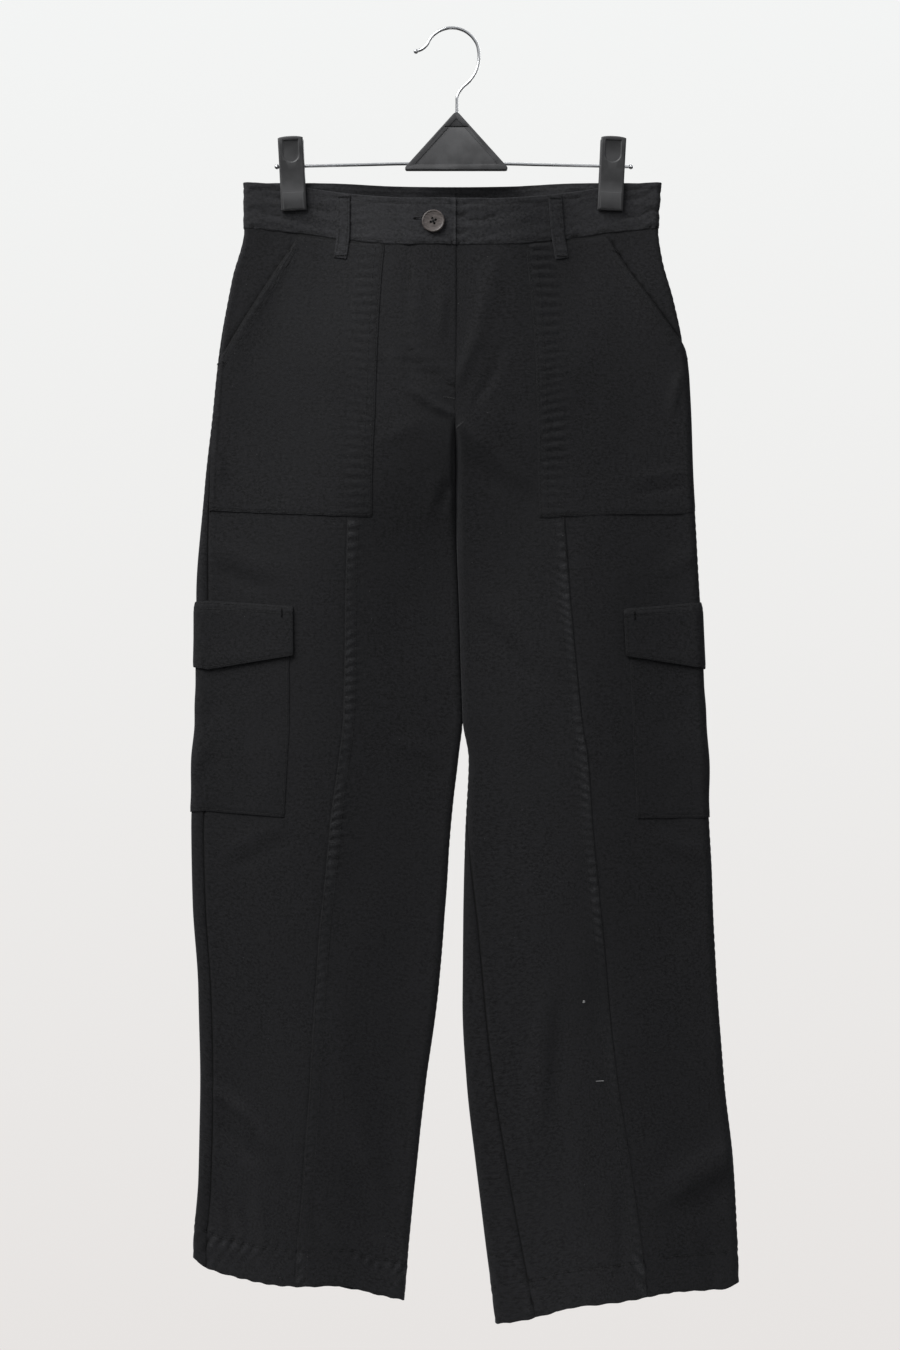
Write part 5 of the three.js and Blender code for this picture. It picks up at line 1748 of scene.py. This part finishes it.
def tacks():
    rows = []
    for leg in LEGS:
        hip = PATCHES[f"hip_{leg}"]
        for share in (float(hip.corner_share) + 0.03, 0.965):
            level = hip.top(np.array(share)) + 3.0 / LEG_LENGTH
            x, down = around_mm(hip, level, share)
            rows.append(zigzag(hip, (x - 4, down), (x + 4, down + 1.5), 1.6, 16))
        flap = PATCHES[f"flap_{leg}"]
        for share in (0.035, 0.965):
            level = flap.top(np.array(share)) + 2.5 / LEG_LENGTH
            x, down = around_mm(flap, level, share)
            rows.append(zigzag(flap, (x, down), (x, down + 8), 1.6, 16))
    for name in LOOPS["name"]:
        loop = PATCHES[f"loop_{name}"]
        share = 0.5
        for height in LOOP_TACKS:
            level = mix(loop.top(np.array(share)), loop.bottom(np.array(share)), height)
            x, down = around_mm(loop, level, share)
            rows.append(zigzag(loop, (x - 5, down), (x + 5, down), 1.6, 18))
    return rows


def pale_tacks():
    right, left = PANELS["front_inner_right"], PANELS["front_inner_left"]
    return [
        zigzag(right, (1.5, 335), (11, 333.5), 1.2, 14),
        zigzag(left, (1.5, 361), (8, 356), 1.0, 10),
    ]

# %% Lint
def lint():
    """A tuft and a loose fibre that have caught on the left leg."""
    def on_leg(share, down, across, drop):
        level = level_of("left", 0.25 + 0 * drop, down + drop)
        around = at_share("left", share, level) + millimetres("left", level, across)
        stand = PANELS["front_inner_left"].stand(around, level)
        return lay("left", around, down_at("left", around, level), stand + THIN / 2 + 0.2)

    t = np.linspace(0, 1, 24)
    tuft = on_leg(0.473, 873.0, 1.1 * np.cos(17 * t) * (1 - 0.5 * t), 1.0 * np.sin(13 * t))
    fibre = on_leg(0.5, 944.0, 7.0 * t, 1.2 * t - 0.3 * np.sin(3 * t))
    return [tuft, fibre]


thread_piece("lint", lint(), PALE_THREAD, radius=0.22)
thread_piece("bar_tacks", tacks(), radius=0.16)
thread_piece("pale_bar_tacks", pale_tacks(), WORN_THREAD, radius=0.17)

# %% [markdown]
# ## The button
#
# A four-hole button is a turned thing, so its section is spun round its axis. The holes are
# cut with four rods, and the thread crosses between them.

# %% The section of the button, and its seat
BUTTON_SECTION = table("radius up", [
    (0, 0.0), (8.6, 0.0), (9.6, 0.35), (10.1, 1.0), (10.2, 1.6), (10.0, 2.3), (9.6, 2.7), (9.15, 2.8),
    (8.8, 2.7), (8.5, 2.45), (8.1, 2.3), (5.0, 2.25), (2.5, 2.2), (0, 2.2),
])
HOLE_RADIUS = 1.1
HOLE_SPREAD = 2.4
HOLE_TURN = 0.4
BUTTON_DOWN = 176.5
BUTTON_FROM_CENTRE = 19.8


def button_seat():
    """The button's place on the lapped band, as a matrix whose Z axis points outwards."""
    around = BUTTON_FROM_CENTRE / float(girth(RIGHT, BUTTON_DOWN))
    point, normal = cloth_at("right", around, BUTTON_DOWN)
    turn = Vector(normal).to_track_quat("Z", "Y").to_matrix().to_4x4()
    seat = Vector(point) + Vector(normal) * (BAND_FACE + BAND_LIFT + LAY_GAP)
    return Matrix.Translation(seat * MM) @ turn @ Matrix.Scale(MM, 4)

# %% Turning and cutting
def spun(name, section, steps):
    """A closed turned shape from half its section, in millimetres."""
    shape = bmesh.new()
    knots = [shape.verts.new((r, 0, up)) for r, up in zip(section["radius"], section["up"])]
    for a, b in zip(knots, knots[1:]):
        shape.edges.new((a, b))
    bmesh.ops.spin(
        shape, geom=shape.verts[:] + shape.edges[:], angle=2 * math.pi, steps=steps,
        axis=(0, 0, 1), cent=(0, 0, 0), use_merge=True,
    )
    bmesh.ops.remove_doubles(shape, verts=shape.verts, dist=1e-4)
    bmesh.ops.recalc_face_normals(shape, faces=shape.faces)
    return mesh_from(name, shape)


def cut(piece, name, shape):
    """Takes the form of a bmesh out of a piece."""
    tool = add_object(name, mesh_from(name, shape))
    boolean = piece.modifiers.new("cut", "BOOLEAN")
    boolean.operation = "DIFFERENCE"
    boolean.solver = "EXACT"
    boolean.object = tool
    settle(piece)
    bpy.data.objects.remove(tool)

# %% The button and its thread
def button():
    seat = button_seat()
    mesh = spun("waist_button_turned", BUTTON_SECTION, 64)
    piece = link("waist_button_turned", mesh, HORN)
    holes = bmesh.new()
    for k in range(4):
        turn = HOLE_TURN + k * math.pi / 2
        place = Matrix.Translation((HOLE_SPREAD * math.cos(turn), HOLE_SPREAD * math.sin(turn), 1))
        bmesh.ops.create_cone(
            holes, cap_ends=True, segments=16, radius1=HOLE_RADIUS, radius2=HOLE_RADIUS,
            depth=6, matrix=place,
        )
    cut(piece, "button_holes", holes)
    piece.data.transform(seat)
    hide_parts("waist_button")
    print("waist_button_turned:", len(piece.data.polygons), "faces")
    cross = []
    for k in range(2):
        turn = HOLE_TURN + k * math.pi / 2
        a = Vector((math.cos(turn), math.sin(turn), 0)) * HOLE_SPREAD
        low, high = Vector((0, 0, 0.6)), Vector((0, 0, 2.4 + 0.15 * k))
        for offset in (-0.25, 0.1, 0.4):
            side = Vector((-math.sin(turn), math.cos(turn), 0)) * offset
            knots = [a + side + low, a * 0.8 + side + high, -a * 0.8 + side + high, -a + side + low]
            cross.append(np.array([tuple(seat @ knot) for knot in knots]) / MM)
    thread_piece("button_thread", cross, radius=0.28)


button()

# %% Buttonhole
BUTTONHOLE = (BUTTON_FROM_CENTRE - 2, BUTTON_FROM_CENTRE + 17.5)  # ends of its slit
BUTTONHOLE_DOWN = 173.5


def buttonhole():
    """A ring of close stitches round a slit, most of it hidden by the button."""
    start, end = BUTTONHOLE
    t = np.linspace(0, 2 * math.pi, 180)
    half, middle = (end - start) / 2, (end + start) / 2
    sway = np.where(np.arange(len(t)) % 2, 1.35, 0.35)
    from_centre = middle + (half + sway - 1) * np.sign(np.cos(t)) * np.abs(np.cos(t)) ** 0.35
    around = from_centre / girth(RIGHT, BUTTONHOLE_DOWN)
    lift = band_lift("right", around) + BAND_FOLD + BAND_LAYER / 2 + 0.1
    return lay("right", around, BUTTONHOLE_DOWN + sway * np.sin(t), lift)


thread_piece("buttonhole_stitches", [buttonhole()], radius=0.2)

# %% [markdown]
# ## The hanger
#
# The wire hook and bar are curves given a round section, the plate is a cut triangle whose
# edges are bevelled, and each clip is two moulded jaws. A jaw is drawn as its side view,
# extruded across, and its edges are rounded with Bevel; the hollow for the thumb is cut out.

# %% Wire parts
WIRE_RADIUS = 1.4
HOOK_RADIUS = 24.3
SHANK_X = 4.5
BODY_TOP = 74.3
BODY_HEIGHT = 52.5
BODY_THICK = 9
BAR_DOWN = 121
BAR_SAG = 2.6
BAR_STRAIGHT = 0.28
BAR_ENDS = (-157.5, 161)
HOOK_TIP = ((-32.4, 19.8), (-26.5, 17.4), (-22.4, 13.6))
HOOK_NECK = (
    (22.9, 34.0), (17.0, 45.0), (8.6, 53.4), (5.0, 59.5), (SHANK_X, 67.0), (SHANK_X, BODY_TOP + 12),
)


def placed(x, down, y=0):
    """A move to a place on the hanger, given in millimetres."""
    return Matrix.Translation((x * MM, y * MM, -down * MM))


def wire_piece(name, places, balls, node):
    """A round wire through places (x, down), with a ball on each place in balls."""
    curve = round_curve(name, WIRE_RADIUS, 5)
    curve.resolution_u = 10
    spline = curve.splines.new("BEZIER")
    spline.bezier_points.add(len(places) - 1)
    for knot, (x, down) in zip(spline.bezier_points, places):
        knot.co = (x * MM, 0, -down * MM)
        knot.handle_left_type = knot.handle_right_type = "AUTO"
    wire = curve_to_mesh(name, curve)
    shape = bmesh.new()
    shape.from_mesh(wire)
    for place, radius in balls:
        bmesh.ops.create_uvsphere(
            shape, u_segments=24, v_segments=16, radius=radius * MM, matrix=placed(*place),
        )
    bmesh.ops.remove_doubles(shape, verts=shape.verts, dist=1e-7)
    shape.to_mesh(wire)
    shape.free()
    wire.shade_smooth()
    wire.set_sharp_from_angle(angle=SHARP)
    piece = link(name, wire, WIRE)
    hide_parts(node)
    print(f"{name}: {len(wire.polygons)} faces")

# %% Hook and bar
def droop(share):
    return BAR_SAG * max(0, (share - BAR_STRAIGHT) / (1 - BAR_STRAIGHT))


def hook_and_bar():
    centre_down = HOOK_RADIUS - WIRE_RADIUS
    turns = [math.radians(angle) for angle in range(142, 0, -18)]
    bend = [(HOOK_RADIUS * math.cos(t), centre_down - HOOK_RADIUS * math.sin(t)) for t in turns]
    wire_piece("hook_wire", [*HOOK_TIP, *bend, *HOOK_NECK], [(HOOK_TIP[0], 2.1)], "hanger_hook")
    places = []
    for share in (-1, -0.75, -0.5, -BAR_STRAIGHT, 0, BAR_STRAIGHT, 0.5, 0.75, 1):
        x = -share * BAR_ENDS[0] if share < 0 else share * BAR_ENDS[1]
        places.append((x, BAR_DOWN + droop(abs(share))))
    wire_piece("bar_wire", places, [(places[0], 2.2), (places[-1], 2.2)], "hanger_bar")


hook_and_bar()

# %% Edges and prisms
PLATE_X = SHANK_X - 0.6
PLATE_HALF = 48
RIM = 4.6
RIM_DEPTH = 0.7


def worn_and_highlit_edges(piece, width, angle, reach):
    """Rounds a moulded piece's edges, and pales each point by how sharply it turns there: part rubbed wear,
    part painted highlight.
    """
    round_edges(piece, width, angle)
    mesh = settle(piece).data
    shape = bmesh.new()
    shape.from_mesh(mesh)
    layer = shape.verts.layers.float.new("wear_and_painted_light")
    for vert in shape.verts:
        turns = [edge.calc_face_angle(0) for edge in vert.link_edges]
        vert[layer] = min(1, max(0, max(turns, default=0) - 0.3) / reach)
    shape.to_mesh(mesh)
    shape.free()


def extruded(shape, faces, by):
    """Pulls faces out into a solid."""
    pulled = bmesh.ops.extrude_face_region(shape, geom=faces)
    moved = [element for element in pulled["geom"] if isinstance(element, bmesh.types.BMVert)]
    bmesh.ops.translate(shape, verts=moved, vec=by)


def in_metres(shape):
    bmesh.ops.recalc_face_normals(shape, faces=shape.faces)
    bmesh.ops.scale(shape, vec=(MM, MM, MM), verts=shape.verts)
    return shape


def prism(half, top, foot, near, far, corner):
    """A triangular prism that points up, from near to far along Y, with rounded corners."""
    shape = bmesh.new()
    places = ((-half, foot), (half, foot), (0, top))
    knots = [shape.verts.new((PLATE_X + x, near, -down)) for x, down in places]
    shape.faces.new(knots)
    bmesh.ops.bevel(
        shape, geom=knots, offset=corner, segments=5, profile=0.5, affect="VERTICES", material=-1,
    )
    extruded(shape, shape.faces[:], (0, far - near, 0))
    return in_metres(shape)

# %% The plate, with its recesses and its slit
def hanger_plate():
    half, top, foot = PLATE_HALF, BODY_TOP - 0.6, BODY_TOP + BODY_HEIGHT
    face = BODY_THICK / 2
    mesh = mesh_from("hanger_plate", prism(half, top, foot, -face, face, 4.2))
    piece = link("hanger_plate", mesh, PLATE_PLASTIC)
    lean = math.atan(half / (foot - top))
    inner_top, inner_foot = top + RIM / math.sin(lean), foot - RIM
    inner_half = (inner_foot - inner_top) * math.tan(lean)
    for to_face in (-1, 1):
        near, far = sorted((to_face * (face - RIM_DEPTH), to_face * (face + 1)))
        cut(piece, "recess", prism(inner_half, inner_top, inner_foot, near, far, 1.2))
    slit = bmesh.new()
    size = Matrix.Diagonal((21.0 * MM, 4.0 * MM, 1.1 * MM, 1))
    bmesh.ops.create_cube(slit, size=1, matrix=placed(PLATE_X, BODY_TOP + 14.0, -face) @ size)
    cut(piece, "plate_slit", slit)
    worn_and_highlit_edges(piece, 0.35, 28, 0.9)
    piece.data.set_sharp_from_angle(angle=SHARP)
    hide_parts("hanger_body")
    print("hanger_plate:", len(piece.data.polygons), "faces")


hanger_plate()

# %% [markdown]
# ### Clips
#
# The front and the back jaw of a clip are the same moulding, turned round. Each grips the
# cloth with its foot. The lower half carries a raised pad, and above the bar there is a
# hollow for the thumb, where the clip is pressed open.

# %% The side view of a jaw
CLIP_TOP, CLIP_FOOT = -26.0, 40.5
CLIP_INNER = 2.95
CLIP_TILT = 0.05
JAW_DOME = 1.3
JAW_CHAMFER = 0.9
PAD_TOP, PAD_RAISE, PAD_SHARE = 24.5, 0.4, 0.83
JAW_COLUMNS = (0.25, 0.5, 0.7, PAD_SHARE - 0.02, PAD_SHARE, 0.88, 0.94)
JAW_SHARP = math.radians(24)
# Side view of a jaw: out from the plane that is clamped, and along from the bar.
JAW = table("out along", [
    (0.15, -5.0), (5.2, CLIP_TOP + 1.4), (5.9, CLIP_TOP + 0.5), (7.0, CLIP_TOP), (8.0, CLIP_TOP + 0.4),
    (8.35, CLIP_TOP + 1.5), (7.6, -16), (6.7, -4), (6.4, 4), (6.4, 14), (6.4, PAD_TOP - 0.12),
    (6.4, PAD_TOP + 0.12), (6.3, CLIP_FOOT - 1.5), (6.2, CLIP_FOOT - 1.25), (6.0, CLIP_FOOT - 0.6),
    (5.2, CLIP_FOOT), (CLIP_INNER, CLIP_FOOT), (CLIP_INNER, 11), (0.15, 6), (0.15, 1.8), (1.5, 0.8),
    (1.5, -0.8), (0.15, -1.8),
])
THUMB_RADIUS, THUMB_DEEP = 7.6, 0.8

# %% The hollow for the thumb
def thumb_hollow():
    """The U-shaped hollow in the upper half of a jaw, with sides that flare outwards."""
    tool = bmesh.new()
    bmesh.ops.create_cone(
        tool, cap_ends=True, segments=48, radius1=THUMB_RADIUS - 0.9, radius2=THUMB_RADIUS + 0.9,
        depth=2 * THUMB_DEEP, matrix=Matrix.Rotation(math.pi / 2, 4, "X"),
    )
    for vert in tool.verts:
        if vert.co.z > 0.01:
            vert.co.z = 12.5
    place = Matrix.Translation((0, -7.15, 9.9)) @ Matrix.Rotation(0.085, 4, "X")
    bmesh.ops.transform(tool, matrix=Matrix.Scale(MM, 4) @ place, verts=tool.verts)
    return tool

# %% The dome, the chamfers and the pad
def shape_jaw(vert):
    """Domes the top, chamfers the long front edges, and raises the pad within its rim."""
    across = abs(vert.co.x) / (CLIP_WIDTH / 2)
    out, along = -vert.co.y, -vert.co.z
    if along < CLIP_TOP + 3:
        vert.co.z -= JAW_DOME * across**2.6
    if out < 4:
        return
    lowered = JAW_CHAMFER * max(0, (across - 0.88) / 0.12) ** 1.6
    padded = PAD_RAISE if PAD_TOP < along < CLIP_FOOT - 1.4 and across < PAD_SHARE - 0.01 else 0
    vert.co.y -= padded - lowered

# %% A jaw
def jaw(name, front, x, down, tilt):
    shape = bmesh.new()
    knots = [
        shape.verts.new((-CLIP_WIDTH / 2, -out, -along)) for out, along in zip(JAW["out"], JAW["along"])
    ]
    extruded(shape, [shape.faces.new(knots)], (CLIP_WIDTH, 0, 0))
    for share in sorted({sign * column for sign in (-1, 1) for column in (0, *JAW_COLUMNS)}):
        everything = shape.verts[:] + shape.edges[:] + shape.faces[:]
        place = (share * CLIP_WIDTH / 2, 0, 0)
        bmesh.ops.bisect_plane(shape, geom=everything, plane_co=place, plane_no=(1, 0, 0))
    for vert in shape.verts:
        shape_jaw(vert)
    piece = link(name, mesh_from(name, in_metres(shape)), PLASTIC)
    cut(piece, "thumb_hollow", thumb_hollow())
    worn_and_highlit_edges(piece, 0.3, 62, 0.6)
    turn = Matrix.Rotation(tilt, 4, "Y")
    if not front:
        turn = turn @ Matrix.Rotation(math.pi, 4, "Z")
    piece.data.transform(placed(x, down) @ turn)
    piece.data.set_sharp_from_angle(angle=JAW_SHARP)
    return piece

# %% Two clips of two jaws
for side, to_side in (("right", -1), ("left", 1)):
    x = to_side * CLIP_X
    down = BAR_DOWN + droop(x / BAR_ENDS[0 if x < 0 else 1])
    for facing in ("front", "back"):
        piece = jaw(f"clip_{facing}_{side}_jaw", facing == "front", x, down, to_side * CLIP_TILT)
        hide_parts(f"clip_{facing}_{side}")
print("Four jaws of", len(piece.data.polygons), "faces")

# %% [markdown]
# ## Floor and light
#
# A pale floor under the hems, a bright even room, and large soft lights, two from the
# front and one from behind: enough to see black cloth by, with its creases still drawn.

# %% Floor and lights
FLOOR_Z = -1300 * MM
FLOOR_RADIUS = 0.42


def floor():
    pale = Nodes("floor_pale")
    tone = pale.noise(pale.coordinates("Object"), 3.0)
    pale.set(Base_Color=pale.blend(tone, grey(0.74), grey(0.8)), Roughness=0.8)
    shape = bmesh.new()
    place = Matrix.Translation((0, 0, FLOOR_Z))
    bmesh.ops.create_circle(shape, cap_ends=True, segments=96, radius=FLOOR_RADIUS, matrix=place)
    plane = add_object("floor", mesh_from("floor", shape))
    plane.data.materials.append(pale.material)


def soft_light(name, place, size, watts):
    data = bpy.data.lights.new(name, "AREA")
    data.size = size
    data.energy = watts
    light = add_object(name, data)
    light.location = place
    aim = VIEW_CENTRE - Vector(place)
    light.rotation_euler = aim.to_track_quat("-Z", "Y").to_euler()

# %% The room
def room():
    """A pale wall all round to look at, and a dimmer room, lit from above, for the light it gives."""
    world = bpy.data.worlds.new("room")
    world.use_nodes = True
    tree = world.node_tree
    tree.nodes.clear()
    direction = tree.nodes.new("ShaderNodeTexCoord")
    height = tree.nodes.new("ShaderNodeSeparateXYZ")
    tree.links.new(direction.outputs["Generated"], height.inputs["Vector"])

    def gradient(low, high, dark, light):
        ramp = tree.nodes.new("ShaderNodeMapRange")
        tree.links.new(height.outputs["Z"], ramp.inputs["Value"])
        for name, value in zip(("From Min", "From Max"), (low, high)):
            ramp.inputs[name].default_value = value
        mixed = tree.nodes.new("ShaderNodeMix")
        mixed.data_type = "RGBA"
        mixed.inputs[6].default_value, mixed.inputs[7].default_value = dark, light
        tree.links.new(ramp.outputs["Result"], mixed.inputs[0])
        shade = tree.nodes.new("ShaderNodeBackground")
        tree.links.new(mixed.outputs[2], shade.inputs["Color"])
        return shade

    seen = gradient(-0.25, 0.25, (0.80, 0.775, 0.76, 1), (0.90, 0.91, 0.905, 1))
    felt = gradient(-0.6, 1.0, (0.03, 0.03, 0.03, 1), (0.5, 0.51, 0.53, 1))
    path = tree.nodes.new("ShaderNodeLightPath")
    choice = tree.nodes.new("ShaderNodeMixShader")
    output = tree.nodes.new("ShaderNodeOutputWorld")
    tree.links.new(path.outputs["Is Camera Ray"], choice.inputs[0])
    tree.links.new(felt.outputs["Background"], choice.inputs[1])
    tree.links.new(seen.outputs["Background"], choice.inputs[2])
    tree.links.new(choice.outputs["Shader"], output.inputs["Surface"])
    SCENE.world = world
    SCENE.view_settings.view_transform = "Standard"

# %% The stage is set
floor()
room()
soft_light("window", (-1.3, -1.0, 1.35), 1.6, 66)
soft_light("fill", (1.2, -2.6, 0.3), 2.2, 8)
soft_light("behind", (0.9, 2.0, 0.6), 1.6, 22)

# %% Sizes
total = sum(len(item.data.polygons) for item in SCENE.objects if item.type == "MESH")
print("Faces in all:", total)
for sheet in SHEETS:
    print("Sheet:", *sheet)
